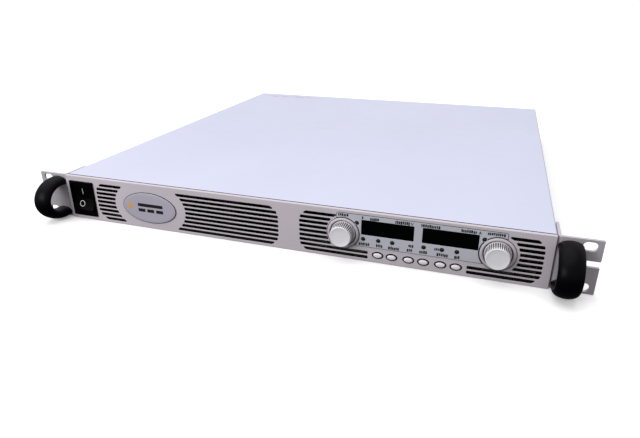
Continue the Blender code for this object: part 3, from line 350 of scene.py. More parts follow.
def round_edges(thing, width, segments=3, angle=35):
    rounding = thing.modifiers.new("Round edges", "BEVEL")
    rounding.width = width
    rounding.segments = segments
    rounding.limit_method = "ANGLE"
    rounding.angle_limit = math.radians(angle)
    rounding.harden_normals = True
    rounding.use_clamp_overlap = True


def prisms(name, outlines, low, high, surface, slot, axis="Y", **options):
    bm = bmesh.new()
    for outline in outlines:
        add_prism(bm, outline, low, high, axis)
    make(name, bm, surface, slot, **options)


def plate(name, outline, holes, front, back, edge, place, surface, slot, nodes=()):
    bm = bmesh.new()
    add_plate(bm, outline, holes, front, back, edge)
    put(bm, place)
    make(name, bm, surface, slot, nodes=nodes)


def band(name, first, second, height):
    """A thin dark line on the front panel, between two outlines: painted shade round the knob collars and
    along the label's edge, a dark rim round the badge.
    """
    bm = bmesh.new()
    rings = ((first, 0.0), (first, -height), (second, -height), (second, 0.0))
    loops = [add_loop(bm, ring, depth) for ring, depth in rings]
    bridge(bm, loops + loops[:1])
    put(bm, on_front)
    make(name, bm, INK, "label_print")


def housing(name, outside, cavities, place, surface, node):
    """A closed block through its outside rings, with blind cavities that open at its front."""
    bm = bmesh.new()
    outer = [add_loop(bm, ring, depth) for ring, depth in outside]
    bridge(bm, outer)
    mouths = [outer[0]]
    for rings in cavities:
        loops = [add_loop(bm, ring, depth) for ring, depth in rings]
        bridge(bm, loops)
        bm.faces.new(loops[-1])
        mouths.append(loops[0])
    fill(bm, mouths)
    bm.faces.new(outer[-1])
    put(bm, place)
    make(name, bm, surface, "black_plastic", nodes=[node])


# ---- folded sheet metal

FOLD_STEP = math.radians(11)
SHEET_EDGE = 0.0002


def fold_parts(points, radii):
    """Runs and bends of a sheet's section, each with its start along it, its heading and its curvature."""
    points = [Vector(point) for point in points]
    parts = []
    reach, start = 0.0, points[0]
    for before, corner, after, radius in zip(points, points[1:], points[2:], radii):
        come, leave = (corner - before).normalized(), (after - corner).normalized()
        turn = math.atan2(come.x * leave.y - come.y * leave.x, come.dot(leave))
        cut = radius * math.tan(abs(turn) / 2)
        heading = math.atan2(come.y, come.x)
        run = (corner - come * cut - start).length
        parts.append((reach, run, start, heading, 0.0))
        reach += run
        length = radius * abs(turn)
        parts.append((reach, length, corner - come * cut, heading, turn / length))
        reach += length
        start = corner + leave * cut
    last = points[-1] - start
    parts.append((reach, last.length, start, math.atan2(last.y, last.x), 0.0))
    return parts


def fold_point(parts, reach, depth):
    """The place on the folded section of a point of the flat sheet."""
    part = parts[0]
    for candidate in parts:
        if reach >= candidate[0] - 1e-9:
            part = candidate
    begin, _, start, heading, curve = part
    gone = reach - begin
    if curve:
        end = heading + curve * gone
        across = Vector((math.sin(end) - math.sin(heading), math.cos(heading) - math.cos(end))) / curve
        place = start + across
    else:
        end = heading
        place = start + Vector((math.cos(heading), math.sin(heading))) * gone
    return place + Vector((-math.sin(end), math.cos(end))) * depth


def sheet_length(parts):
    return parts[-1][0] + parts[-1][1]


def fold(bm, parts, place):
    """Folds a flat sheet along its section. It is cut across its bends first, so that they come out round."""
    for begin, length, _, _, curve in parts:
        steps = max(3, round(abs(curve) * length / FOLD_STEP))
        for i in range(steps + 1) if curve else ():
            everything = bm.verts[:] + bm.edges[:] + bm.faces[:]
            cut = (begin + length * i / steps, 0.0, 0.0)
            bmesh.ops.bisect_plane(bm, geom=everything, dist=1e-7, plane_co=cut, plane_no=(1, 0, 0))
    for vert in bm.verts:
        vert.co = place(fold_point(parts, vert.co.x, vert.co.z), vert.co.y)


def case_sheet(name, parts, front, back, thickness, holes, surface, slot, node):
    """A rectangular sheet with holes, folded across the case. Its length runs from front to back."""
    total = sheet_length(parts)
    outline = [(0.0, front), (total, front), (total, back), (0.0, back)]
    bm = bmesh.new()
    add_plate(bm, outline, holes, 0.0, thickness, SHEET_EDGE)
    fold(bm, parts, lambda point, length: (point.x, length, point.y))
    make(name, bm, surface, slot, nodes=[node])


# ---- materials

class Shader:
    """Small helper that adds nodes to one material."""

    def __init__(self, name, colour, roughness, metallic=0.0, specular=0.5, coat=0.0):
        self.material = bpy.data.materials.new(name)
        self.material.use_nodes = True
        self.tree = self.material.node_tree
        self.shader = self.tree.nodes["Principled BSDF"]
        self.shader.inputs["Base Color"].default_value = (*colour, 1.0)
        self.shader.inputs["Roughness"].default_value = roughness
        self.shader.inputs["Metallic"].default_value = metallic
        self.shader.inputs["Specular IOR Level"].default_value = specular
        self.shader.inputs["Coat Weight"].default_value = coat
        self.shader.inputs["Coat Roughness"].default_value = 0.08
        self.where = self.tree.nodes.new("ShaderNodeTexCoord").outputs["Object"]

    def node(self, kind, values=None, **settings):
        made = self.tree.nodes.new(kind)
        for key, value in settings.items():
            setattr(made, key, value)
        for key, value in (values or {}).items():
            if hasattr(value, "is_output"):
                self.tree.links.new(value, made.inputs[key])
            else:
                made.inputs[key].default_value = value
        return made

    def noise(self, scale, detail=3.0, stretch=(1.0, 1.0, 1.0), roughness=0.5):
        mapped = self.node("ShaderNodeMapping", {"Vector": self.where, "Scale": stretch})
        values = {"Vector": mapped.outputs[0], "Scale": scale, "Detail": detail, "Roughness": roughness}
        return self.node("ShaderNodeTexNoise", values).outputs["Fac"]

    def spread(self, value, low, high, start=0.3, end=0.7):
        values = {"Value": value, "From Min": start, "From Max": end, "To Min": low, "To Max": high}
        return self.node("ShaderNodeMapRange", values).outputs[0]

    def math(self, operation, first, second=0.0):
        return self.node("ShaderNodeMath", {0: first, 1: second}, operation=operation).outputs[0]

    def mix(self, factor, first, second):
        made = self.node("ShaderNodeMix", {"Factor": factor}, data_type="RGBA")
        for socket, colour in ((made.inputs[6], first), (made.inputs[7], second)):
            if hasattr(colour, "is_output"):
                self.tree.links.new(colour, socket)
            else:
                socket.default_value = (*colour, 1.0)
        return made.outputs[2]

    def colour(self, value):
        self.tree.links.new(value, self.shader.inputs["Base Color"])

    def roughness(self, value):
        self.tree.links.new(value, self.shader.inputs["Roughness"])

    def bump(self, height, strength, distance=0.0001):
        values = {"Height": height, "Strength": strength, "Distance": distance}
        made = self.node("ShaderNodeBump", values)
        self.tree.links.new(made.outputs[0], self.shader.inputs["Normal"])


def shaded(colour, factor):
    return tuple(min(1.0, channel * factor) for channel in colour)


def painted(name, colour, roughness, mottle=0.04, patch=18.0, grain=1400.0, bump=0.12, **settings):
    """Paint or moulded plastic: slow changes of tone and gloss, and a fine surface grain."""
    made = Shader(name, colour, roughness, **settings)
    slow = made.noise(patch, 4.0)
    made.colour(made.mix(made.spread(slow, 0.0, 1.0), shaded(colour, 1 - mottle), shaded(colour, 1 + mottle)))
    middle = made.noise(patch * 9, 3.0)
    made.roughness(made.spread(middle, roughness * 0.88, roughness * 1.12))
    made.bump(made.noise(grain, 2.0), bump, 0.00006)
    return made.material


def brushed(name, colour, roughness, stretch, mottle=0.10, grain=600.0, bump=0.15, patch=25.0, metallic=1.0):
    """Rolled or drawn metal: streaks along one direction over a slow mottle."""
    made = Shader(name, colour, roughness, metallic=metallic)
    streak = made.noise(grain, 3.0, stretch)
    slow = made.noise(patch, 4.0)
    both = made.math("ADD", made.math("MULTIPLY", streak, 0.6), made.math("MULTIPLY", slow, 0.4))
    made.colour(made.mix(made.spread(both, 0.0, 1.0), shaded(colour, 1 - mottle), shaded(colour, 1 + mottle)))
    made.roughness(made.spread(both, roughness * 0.8, roughness * 1.25))
    made.bump(streak, bump, 0.00004)
    return made.material


def spangled(name, colour, roughness, cell=220.0):
    """Galvanised sheet: crystals of slightly different tone and gloss."""
    made = Shader(name, colour, roughness, metallic=0.45)
    values = {"Vector": made.where, "Scale": cell, "Randomness": 1.0}
    crystals = made.node("ShaderNodeTexVoronoi", values).outputs["Color"]
    tone = made.node("ShaderNodeSeparateColor", {"Color": crystals}).outputs[0]
    made.colour(made.mix(tone, shaded(colour, 0.88), shaded(colour, 1.08)))
    made.roughness(made.spread(tone, roughness * 0.8, roughness * 1.2, 0.0, 1.0))
    made.bump(made.noise(900.0, 2.0), 0.08, 0.00005)
    return made.material


def board_surface():
    """Green solder mask over copper areas, with faint tracks."""
    colour = (0.02, 0.13, 0.05)
    made = Shader("solder_mask", colour, 0.35, coat=0.3)
    values = {"Vector": made.where, "Scale": 160.0, "Randomness": 0.4}
    cells = made.node("ShaderNodeTexVoronoi", values, distance="CHEBYCHEV").outputs["Distance"]
    made.colour(made.mix(made.spread(cells, 0.0, 1.0, 0.35, 0.5), (0.035, 0.20, 0.075), colour))
    made.bump(cells, 0.2, 0.0001)
    return made.material


def wound_wire():
    made = Shader("enamelled_wire", (0.55, 0.22, 0.08), 0.3, metallic=1.0)
    values = {"Vector": made.where, "Scale": 520.0, "Distortion": 0.6, "Detail": 1.0}
    turns = made.node("ShaderNodeTexWave", values, bands_direction="X").outputs["Fac"]
    made.colour(made.mix(turns, (0.25, 0.09, 0.03), (0.66, 0.29, 0.11)))
    made.bump(turns, 0.5, 0.0004)
    return made.material


DARK_MARK_CENTRE = (-0.148, FRONT + 0.424)


def cover_surface():
    """Off-white powder coat with faint darker marks near the back."""
    colour = (0.606, 0.618, 0.772)
    made = Shader("cover_powder_coat", colour, 0.5, specular=0.35)
    slow = made.noise(9.0, 5.0, (1.0, 0.6, 1.0))
    tone = made.mix(made.spread(slow, 0.0, 1.0), shaded(colour, 0.975), shaded(colour, 1.02))
    cloud = made.noise(70.0, 6.0, (1.0, 1.0, 1.0), 0.65)
    specks = made.spread(cloud, 0.0, 1.0, 0.60, 0.72)
    tone = made.mix(made.math("MULTIPLY", specks, 0.05), tone, (0.40, 0.40, 0.47))
    split = made.node("ShaderNodeSeparateXYZ", {"Vector": made.where})
    across = made.math("ABSOLUTE", made.math("SUBTRACT", split.outputs[0], DARK_MARK_CENTRE[0]))
    along_y = made.math("ABSOLUTE", made.math("SUBTRACT", split.outputs[1], DARK_MARK_CENTRE[1]))
    inside = made.math("MULTIPLY", made.spread(across, 1.0, 0.0, 0.030, 0.050),
                       made.spread(along_y, 1.0, 0.0, 0.003, 0.012))
    mark_pattern = made.spread(made.noise(160.0, 4.0, (0.5, 1.6, 1.0)), 0.0, 1.0, 0.46, 0.62)
    marks = made.math("MULTIPLY", made.math("MULTIPLY", inside, mark_pattern), 0.5)
    made.colour(made.mix(marks, tone, (0.30, 0.29, 0.33)))
    made.roughness(made.spread(cloud, 0.44, 0.56))
    made.bump(made.noise(1100.0, 2.0), 0.10, 0.00006)
    return made.material


COVER = cover_surface()
PANEL = painted("panel_paint", (0.585, 0.533, 0.585), 0.5, 0.03, 14.0, specular=0.3)
LABEL = painted("label_film", (0.555, 0.555, 0.635), 0.42, 0.02, 30.0, 2400.0, 0.06, specular=0.35)
BADGE_FACE = painted("badge_face", (0.45, 0.425, 0.51), 0.35, 0.03, 40.0, 2400.0, 0.05, specular=0.4)
INK = painted("legend_ink", (0.012, 0.012, 0.016), 0.5, 0.1, 60.0, specular=0.2)
AMBER = painted("amber_ink", (0.80, 0.36, 0.06), 0.4, 0.05, 60.0)
GREEN_PLUG = painted("green_plug", (0.03, 0.20, 0.06), 0.5)
WHITE_INK = painted("white_ink", (0.80, 0.80, 0.84), 0.5, 0.03, 60.0)
GLOSS_BLACK = painted("gloss_black_plastic", (0.0012, 0.0012, 0.0012), 0.3, 0.2, 40.0, 1800.0, 0.08,
                      specular=0.035)
MATT_BLACK = painted("matt_black_plastic", (0.002, 0.002, 0.0022), 0.6, 0.2, 40.0, 1500.0, 0.2, specular=0.05)
HANDLE = painted("handle_moulding", (0.0012, 0.0009, 0.0022), 0.36, 0.25, 30.0, 1600.0, 0.25, specular=0.07)
# Darker grey for the knobs' rib grooves: painted shade in the grooves.
KNOB_GROOVE_SHADE = painted("knob_groove_painted_shade", (0.16, 0.15, 0.16), 0.6, 0.05, 60.0, specular=0.2)
KNOB = painted("knob_moulding", (0.84, 0.82, 0.87), 0.45, 0.03, 60.0, 2200.0, 0.10, specular=0.35)
GLASS = painted("dark_filter", (0.0008, 0.0010, 0.0010), 0.12, 0.1, 40.0, 900.0, 0.01, specular=0.03)
LAMP = painted("unlit_lamp", (0.012, 0.014, 0.009), 0.25, 0.2, 200.0, specular=0.2)
EAR = brushed("ear_zinc", (0.60, 0.565, 0.62), 0.45, (1.0, 1.0, 0.06), metallic=0.45)
STEEL = spangled("galvanised_steel", (0.58, 0.58, 0.61), 0.45)
# Near-black for the front subpanel behind the vents: painted shade seen through the slots.
SUBPANEL_SHADE = painted("shaded_front_sheet", (0.010, 0.008, 0.008), 0.6, 0.2, 30.0, specular=0.1)
SCREW = brushed("screw_zinc", (0.50, 0.50, 0.52), 0.33, (1.0, 0.2, 1.0), 0.12, 900.0)
TINNED = brushed("tinned_bar", (0.66, 0.65, 0.62), 0.34, (1.0, 0.05, 1.0))
BRASS = brushed("brass_plate", (0.70, 0.53, 0.23), 0.30, (1.0, 0.3, 1.0))
ALUMINIUM = brushed("extruded_aluminium", (0.66, 0.67, 0.69), 0.36, (1.0, 0.04, 1.0))
BOARD = board_surface()
WIRE = wound_wire()
FERRITE = painted("ferrite_core", (0.045, 0.045, 0.05), 0.7, 0.2, 60.0, 900.0, 0.5)
SLEEVE = painted("capacitor_sleeve", (0.02, 0.03, 0.09), 0.35, 0.1, 30.0, coat=0.3)


# ---- front panel

def corner_pull(distance, radius):
    if distance >= radius:
        return 0.0
    return radius - math.sqrt(radius**2 - (radius - max(distance, 0.0)) ** 2)


def block_side(z, top, bottom):
    return corner_pull(VENT_TOP - z, top) + corner_pull(z - VENT_BOTTOM, bottom)


def reach(z, middle, radii):
    return radii[0] * math.sqrt(1 - min(abs(z - middle) / radii[1], 1.0) ** 2)


def vent_block_a(z):
    return VENT_A_LEFT + block_side(z, *VENT_CORNERS["a"]), BADGE[0] - reach(z, BADGE[1], BADGE_CLEARANCE)


def vent_block_b(z):
    return BADGE[0] + reach(z, BADGE[1], BADGE_CLEARANCE), VENT_B_RIGHT - block_side(z, *VENT_CORNERS["b"])


def vent_block_c(z):
    left = VENT_C_LEFT + block_side(z, *VENT_CORNERS["c"])
    if z < VENT_UNDER_KNOBS:
        return left, CONTROL_X - VENT_UNDER_KNOBS_REACH
    return left, CONTROL_X - KNOB_SPREAD + VENT_KNOB_SHIFT - reach(z, KNOB_Z, KNOB_CLEARANCE)


def vent_block_d(z):
    right = VENT_D_RIGHT - block_side(z, *VENT_CORNERS["d"])
    if z < VENT_UNDER_KNOBS:
        return CONTROL_X + VENT_UNDER_KNOBS_REACH, right
    return CONTROL_X + KNOB_SPREAD + VENT_KNOB_SHIFT + reach(z, KNOB_Z, KNOB_CLEARANCE), right


def vent_slots():
    slots = []
    for block in (vent_block_a, vent_block_b, vent_block_c, vent_block_d):
        for i in range(VENT_ROWS):
            row = VENT_FIRST_ROW + VENT_PITCH * i
            low, high = row - VENT_HALF_HEIGHT, row + VENT_HALF_HEIGHT
            (low_left, low_right), (high_left, high_right) = block(low), block(high)
            corners = [(low_left, low), (low_right, low), (high_right, high), (high_left, high)]
            slots.append(rounded(corners, VENT_END_RADIUS, 3))
    return slots


def knob_centres():
    return {"voltage": (CONTROL_X - KNOB_SPREAD, KNOB_Z), "current": (CONTROL_X + KNOB_SPREAD, KNOB_Z)}


def display_hole(x, margin):
    return rounded_box((x, DISPLAY_Z), DISPLAY_WIDTH + 2 * margin, DISPLAY_HEIGHT + 2 * margin, 0.0006)


def lamp_hole(place, margin):
    return circle(place, LAMP_RADIUS + margin, 20)


def bezel():
    """Moulded front frame: rounded front edges, a hollow back, and every opening softly edged, with its inner
    walls matt black as painted shade.
    """
    width, height = 2 * HALF_WIDTH, BEZEL_HIGH.z - BEZEL_LOW.z
    middle = (0.0, height / 2)
    outline = rounded_box(middle, width, height, 0.0009, 5)
    pocket = rounded_box(middle, width - 2 * BEZEL_RIM, height - 2 * BEZEL_RIM, 0.0006, 5)
    deep = BEZEL_HIGH.y - BEZEL_LOW.y - 0.0002
    bm = bmesh.new()
    rings = rim(outline, 1, 0.0, deep, 0.0006, 4) + [(pocket, deep), (pocket, BEZEL_WALL)]
    outer = [add_loop(bm, ring, depth) for ring, depth in rings]
    bridge(bm, outer)
    fronts, backs = [outer[0]], [outer[-1]]
    holes = [(slot, 0.0002) for slot in vent_slots()]
    holes += [(display_hole(x, HOLE_MARGIN), 0.0002) for x in DISPLAY_CENTRES]
    holes += [(lamp_hole(place, HOLE_MARGIN), 0.0001) for place in LAMPS]
    holes += [(circle(centre, KNOB_HOLE_RADIUS, 72), 0.0002) for centre in knob_centres().values()]
    for x in BUTTON_X:
        radii = (BUTTON_WIDTH / 2 + BUTTON_HOLE_MARGIN, BUTTON_HEIGHT / 2 + BUTTON_HOLE_MARGIN)
        holes.append((oval((x, BUTTON_Z), *radii, 40), 0.00015))
    holes.append((rounded_box(SWITCH, 0.0250, 0.0304, 0.0005, 3), 0.0001))
    for shape, edge in holes:
        loops = [add_loop(bm, ring, depth) for ring, depth in rim(shape, -1, 0.0, BEZEL_WALL, edge)]
        bridge(bm, loops[:-1])
        # The walls inside every opening, past its rounded edge, are matt black: painted shade in the holes.
        for face in bridge(bm, loops[-2:]):
            face.material_index = 1
        fronts.append(loops[0])
        backs.append(loops[-1])
    fill(bm, fronts)
    fill(bm, backs)
    put(bm, on_front)
    make("bezel", bm, [PANEL, MATT_BLACK], "bezel_paint", nodes=["front_bezel"])


COLLAR_PROFILE = ((0.0108, 0.0), (0.0108, 0.0007), (0.0110, 0.0010), (0.0115, 0.0011), (0.0122, 0.0010),
                  (0.0127, 0.0006), (0.0130, 0.0))
# Radii of a thin dark ring round each collar: painted shade at the collar's edge.
COLLAR_SHADE_RING = (0.0129, 0.0133)


def knob_collars():
    """Raised ring moulded into the panel round each knob, with a thin dark ring round it as painted shade."""
    for side, centre in knob_centres().items():
        bm = bmesh.new()
        sections = [add_ring(bm, circle((0, 0), radius, 96), FRONT + 0.0001 - rise, "Y", centre)
                    for radius, rise in COLLAR_PROFILE]
        bridge(bm, sections + sections[:1])
        make(f"{side}_knob_collar", bm, PANEL, "bezel_paint", angle=60)
        band(f"{side}_knob_shade_ring", *(circle(centre, radius, 96) for radius in COLLAR_SHADE_RING), 0.0002)


def label_outline():
    knob_x = CONTROL_X - KNOB_SPREAD
    left = CONTROL_X - LABEL_HALF_WIDTH
    start = -math.asin((KNOB_Z - LABEL_BOTTOM) / LABEL_ARC_RADIUS)
    end = math.acos((left - knob_x) / LABEL_ARC_RADIUS)
    hollow = arc((knob_x, KNOB_Z), LABEL_ARC_RADIUS, LABEL_ARC_RADIUS, start, end, 36)
    radius = 0.0018
    corner = arc((left + radius, LABEL_TOP - radius), radius, radius, math.pi, math.pi / 2, 8)
    side = hollow + corner
    clockwise = side + mirrored(side, CONTROL_X)
    return list(reversed(clockwise))


def control_label():
    outline = label_outline()
    holes = [display_hole(x, HOLE_MARGIN) for x in DISPLAY_CENTRES]
    holes += [lamp_hole(place, HOLE_MARGIN) for place in LAMPS]
    plate("control_label_film", offset(outline, -0.0004), holes, -0.0004, 0.0, 0.0001, on_front, LABEL,
          "label_print", ["control_label"])
    # A dark line along the label film's edge: painted shadow of the film's edge.
    band("control_label_edge_shadow", outline, offset(outline, -0.00045), 0.00012)


def caption(draw, left, right, z, height):
    """Outlines of a row of small blocks in place of a printed caption."""
    outlines = []
    at = left
    while at < right:
        width = draw.uniform(0.0008, 0.0014)
        tall = CAPTION_SCALE * height * draw.uniform(0.75, 1.0)
        middle = (at + width / 2, z + draw.uniform(-0.1, 0.1) * height)
        outlines.append(rounded_box(middle, width, tall, 0.0002, 2))
        at += width + draw.uniform(0.00028, 0.00042)
    return outlines


def stroke(start, end, width):
    """Outline of a straight printed stroke between two points of the front plane."""
    start, end = Vector(start), Vector(end)
    side = (end - start).normalized() * width / 2
    across = Vector((-side.y, side.x))
    corners = (start - side - across, end + side - across, end + side + across, start - side + across)
    return [tuple(corner) for corner in corners]


CAPTION_SCALE = 1.4
CAPTIONS = (
    (0.0725, 0.0735, 0.0375, 0.0021), (0.0790, 0.0850, 0.0372, 0.0018), (0.0985, 0.1085, 0.0374, 0.0022),
    (0.1180, 0.1320, 0.0374, 0.0019), (0.1470, 0.1580, 0.0374, 0.0018), (0.1655, 0.1775, 0.0379, 0.0018),
    (0.0535, 0.0615, 0.0379, 0.0018), (0.0705, 0.0785, 0.0152, 0.0019), (0.0845, 0.0885, 0.0154, 0.0019),
    (0.0940, 0.1020, 0.0150, 0.0019), (0.1095, 0.1125, 0.0192, 0.0018), (0.1085, 0.1125, 0.0154, 0.0018),
    (0.1180, 0.1230, 0.0154, 0.0018), (0.1290, 0.1320, 0.0195, 0.0016), (0.1310, 0.1390, 0.0154, 0.0019),
    (0.1440, 0.1475, 0.0152, 0.0018),
)


LETTER_STROKES = (
    ((0.1104, 0.0384), (0.1112, 0.0364)), ((0.1112, 0.0364), (0.1120, 0.0384)),
    ((0.1594, 0.0364), (0.1602, 0.0384)), ((0.1602, 0.0384), (0.1610, 0.0364)),
    ((0.1597, 0.0371), (0.1607, 0.0371)),
)


def legends():
    """Generic marks: caption blocks, and V and A beside the displays."""
    draw = random.Random(7)
    outlines = []
    for left, right, z, height in CAPTIONS:
        outlines += caption(draw, left, right, z, height)
    outlines += [stroke(start, end, 0.0004) for start, end in LETTER_STROKES]
    prisms("control_legends", outlines, *LABEL_INK, INK, "label_print", flat=False)


BADGE_PROFILE = (
    (1.0, 0.0), (1.0, 0.00035), (0.993, 0.0005), (0.98, 0.00056),
    (0.85, 0.00063), (0.6, 0.00067), (0.3, 0.0007), (0.02, 0.0007),
)
BADGE_INK = (FRONT - 0.00106, FRONT - 0.00092)
BADGE_RIM = 0.0005
SYMBOL_X = BADGE[0] + 0.0015


def badge_outline(share, margin):
    return oval(BADGE, BADGE_RADII[0] * share + margin, BADGE_RADII[1] * share + margin, 96)


def badge():
    """Slightly domed oval plate in a thin dark rim, with a direct-current symbol and an amber mark."""
    bm = bmesh.new()
    rings = []
    for share, rise in BADGE_PROFILE:
        rings.append([(a, FRONT - 0.0003 - rise, b) for a, b in badge_outline(share, 0.0)])
    add_skin(bm, rings)
    make("badge_plate", bm, BADGE_FACE, "label_print", nodes=["name_badge"], flat=False)
    band("badge_rim", badge_outline(1.0, 0.0), badge_outline(1.0, BADGE_RIM), 0.00045)
    bars = [rounded_box((SYMBOL_X, 0.0227), 0.0256, 0.0030, 0.0003)]
    bars += [rounded_box((SYMBOL_X + 0.0092 * i, 0.0177), 0.0072, 0.0030, 0.0003) for i in (-1, 0, 1)]
    prisms("badge_symbol", bars, *BADGE_INK, INK, "label_print", flat=False)
    mark = rounded_box((BADGE[0] - 0.0198, 0.0208), 0.0032, 0.0052, 0.0010)
    prisms("badge_accent", [mark], *BADGE_INK, AMBER, "label_print", flat=False)


# ---- power switch

def switch_housing():
    flange = rounded_box(SWITCH, SWITCH_WIDTH, SWITCH_HEIGHT, 0.0009, 4)
    body = rounded_box(SWITCH, *SWITCH_BODY, 0.0009, 4)
    cavity = rounded_box(SWITCH, ROCKER_WIDTH + 0.0006, ROCKER_HEIGHT + 0.0014, 0.0006, 4)
    front = SWITCH_FRONT - FRONT
    outside = rim(flange, 1, front, -0.0001, 0.0006) + [(body, -0.0001), (body, SWITCH_DEPTH)]
    inside = rim(cavity, -1, front, SWITCH_CAVITY_DEPTH, 0.0004)
    housing("switch_housing", outside, [inside], on_front, GLOSS_BLACK, "power_switch_body")
    blades = [rectangle((SWITCH[0] + across, SWITCH[1] + up), 0.0008, 0.0063)
              for across in (-0.005, 0.005) for up in (-0.008, 0.008)]
    prisms("switch_terminals", blades, FRONT + 0.0236, FRONT + 0.0319, BRASS, "brass_plating", bevel=0.0001)


def rocker_turn(y, z):
    """A point of the level rocker, turned to the rest position, in which its top is pressed in."""
    angle = -ROCKER_TILT
    return (
        ROCKER_PIVOT_Y + y * math.cos(angle) - z * math.sin(angle),
        SWITCH[1] + z * math.cos(angle) + y * math.sin(angle),
    )


def rocker_face(z):
    """Depth of the rocker's curved face at a height from its middle: a smooth shallow valley."""
    half = ROCKER_HEIGHT / 2
    tip = half * math.tan(ROCKER_TILT)
    share = min(abs(z) / half, 1.0)
    return -0.0020 - tip * share * (0.35 * share + 0.65)


def rocker():
    half = ROCKER_HEIGHT / 2
    section = []
    for i in range(25):
        z = half * 0.955 * (i / 12 - 1)
        section.append((rocker_face(z), z))
    tip = rocker_face(half)
    upper = [(tip + 0.0003, half * 0.99), (tip + 0.0010, half), (tip + 0.0074, half), (0.0061, 0.0054)]
    outline = section + upper + [(y, -z) for y, z in reversed(upper)]
    outline = [rocker_turn(y, z) for y, z in outline]
    bm = bmesh.new()
    rings = []
    low, high = SWITCH[0] - ROCKER_WIDTH / 2, SWITCH[0] + ROCKER_WIDTH / 2
    middle = rocker_turn(0.002, 0.0)
    for level, share in ((low, 0.955), (low + 0.0003, 0.99), (low + 0.0008, 1.0),
                         (high - 0.0008, 1.0), (high - 0.0003, 0.99), (high, 0.955)):
        rings.append([(level, middle[0] + (y - middle[0]) * share, middle[1] + (z - middle[1]) * share)
                      for y, z in outline])
    add_skin(bm, rings)
    make("rocker_cap", bm, GLOSS_BLACK, "black_plastic", body="rocker", nodes=["power_rocker"])
    bm = bmesh.new()
    add_mark(bm, [(SWITCH[0] - 0.0005, 0.0035), (SWITCH[0] - 0.0005, 0.0090)], ROCKER_MARK_WIDTH, False)
    add_mark(bm, circle((SWITCH[0] - 0.0015, -0.0052), 0.0026, 40), ROCKER_MARK_WIDTH, True)
    make("rocker_marks", bm, WHITE_INK, "label_print", body="rocker", flat=False)


def add_mark(bm, path, width, closed):
    """A printed line that follows the rocker's face. The path is in (x, height from the middle)."""
    count = len(path)
    loops = []
    for i in range(count):
        here = Vector(path[i])
        if closed:
            heading = (Vector(path[(i + 1) % count]) - Vector(path[i - 1])).normalized()
        else:
            heading = (Vector(path[-1]) - Vector(path[0])).normalized()
        side = Vector((-heading.y, heading.x)) * width / 2
        ring = []
        for sign, lift in ((-1, -0.00008), (1, -0.00008), (1, 0.00005), (-1, 0.00005)):
            point = here + side * sign
            y, z = rocker_turn(rocker_face(point.y) + lift, point.y)
            ring.append(bm.verts.new((point.x, y, z)))
        loops.append(ring)
    if closed:
        bridge(bm, loops + loops[:1])
        return
    bridge(bm, loops)
    bm.faces.new(loops[0])
    bm.faces.new(list(reversed(loops[-1])))


# ---- controls

KNOB_RIBS = 36
KNOB_RIB_DEPTH = 0.00065
# Radius, distance behind the knob's face, and how much of the ribs' depth is cut there.
KNOB_PROFILE = (
    (0.0006, 0.00045, 0.0), (0.0040, 0.00042, 0.0), (0.0068, 0.00030, 0.0), (0.0076, 0.00008, 0.0),
    (0.0079, 0.0, 0.0), (0.0081, 0.00004, 0.0), (0.00835, 0.00022, 0.0), (0.00852, 0.0005, 0.1),
    (0.00862, 0.0009, 1.0), (0.00885, 0.0030, 1.0), (0.00915, 0.0055, 1.0), (0.00945, 0.0078, 1.0),
    (0.00965, 0.0086, 0.5), (0.0098, 0.0090, 0.0), (0.0098, 0.0142, 0.0),
)
KNOB_FLANK = (0.0008, 0.0085)
BUTTON_PROFILE = (
    (0.02, 0.0), (0.45, 0.00003), (0.70, 0.00010), (0.82, 0.00022), (0.91, 0.00045),
    (0.97, 0.0008), (1.0, 0.0012), (1.0, 0.0015), (1.0, 0.0047),
)


def knob(side, centre):
    """Ribbed, flared knob with a dished face; the grooves between the ribs take a darker grey as painted
    shade.
    """
    steps = KNOB_RIBS * 8
    bm = bmesh.new()
    rings = []
    for radius, level, ribbing in KNOB_PROFILE:
        ring = []
        for i in range(steps):
            angle = math.tau * i / steps
            wave = math.cos(angle * KNOB_RIBS)
            cut = KNOB_RIB_DEPTH * ribbing * (0.5 - 0.5 * math.copysign(abs(wave) ** 0.6, wave))
            a, b = (radius - cut) * math.cos(angle), (radius - cut) * math.sin(angle)
            ring.append(along("Y", centre, a, b, KNOB_FRONT + level))
        rings.append(ring)
    add_skin(bm, rings)
    # Faces down in the grooves between the ribs take the darker grey: painted shade.
    for face in bm.faces:
        middle = face.calc_center_median()
        radius = math.hypot(middle.x - centre[0], middle.z - centre[1])
        behind = middle.y - KNOB_FRONT
        crest = 0.00862 + (behind - 0.0009) * 0.136
        if KNOB_FLANK[0] < behind < KNOB_FLANK[1] and radius < crest - 0.00026:
            face.material_index = 1
    surfaces = [KNOB, KNOB_GROOVE_SHADE]
    node = f"{side}_knob"
    make(f"{side}_knob_cap", bm, surfaces, "knob_plastic", node, [node], 50, flat=False)


def button(name, x):
    """Oval push button with a softly domed face. Its sides inside the panel's hole and its stem are matt
    black as painted shade in the gap.
    """
    rings = []
    for share, level in BUTTON_PROFILE:
        radii = (BUTTON_WIDTH / 2 * share, BUTTON_HEIGHT / 2 * share)
        outline = oval((x, BUTTON_Z), *radii, 40)
        rings.append([(a, BUTTON_FRONT + level, b) for a, b in outline])
    bm = bmesh.new()
    add_skin(bm, rings)
    stem = oval((x, BUTTON_Z), 0.0022, 0.0016, 20)
    add_prism(bm, stem, FRONT + 0.0032, FRONT + 0.0086)
    # Faces behind the panel's front, the cap's sides in the hole and the stem, are matt black: painted shade
    # in the gap.
    for face in bm.faces:
        if face.calc_center_median().y > FRONT + 0.0005:
            face.material_index = 1
    surfaces = [KNOB, MATT_BLACK]
    node = f"{name}_button"
    make(f"{name}_button_cap", bm, surfaces, "knob_plastic", node, [node], 50, flat=False)


def display(side, x):
    """Dark filter window."""
    plate(f"{side}_display_filter", display_hole(x, 0.0), [], -0.0001, 0.0018, 0.00025, on_front, GLASS,
          "dark_window", [f"{side}_display_window"])


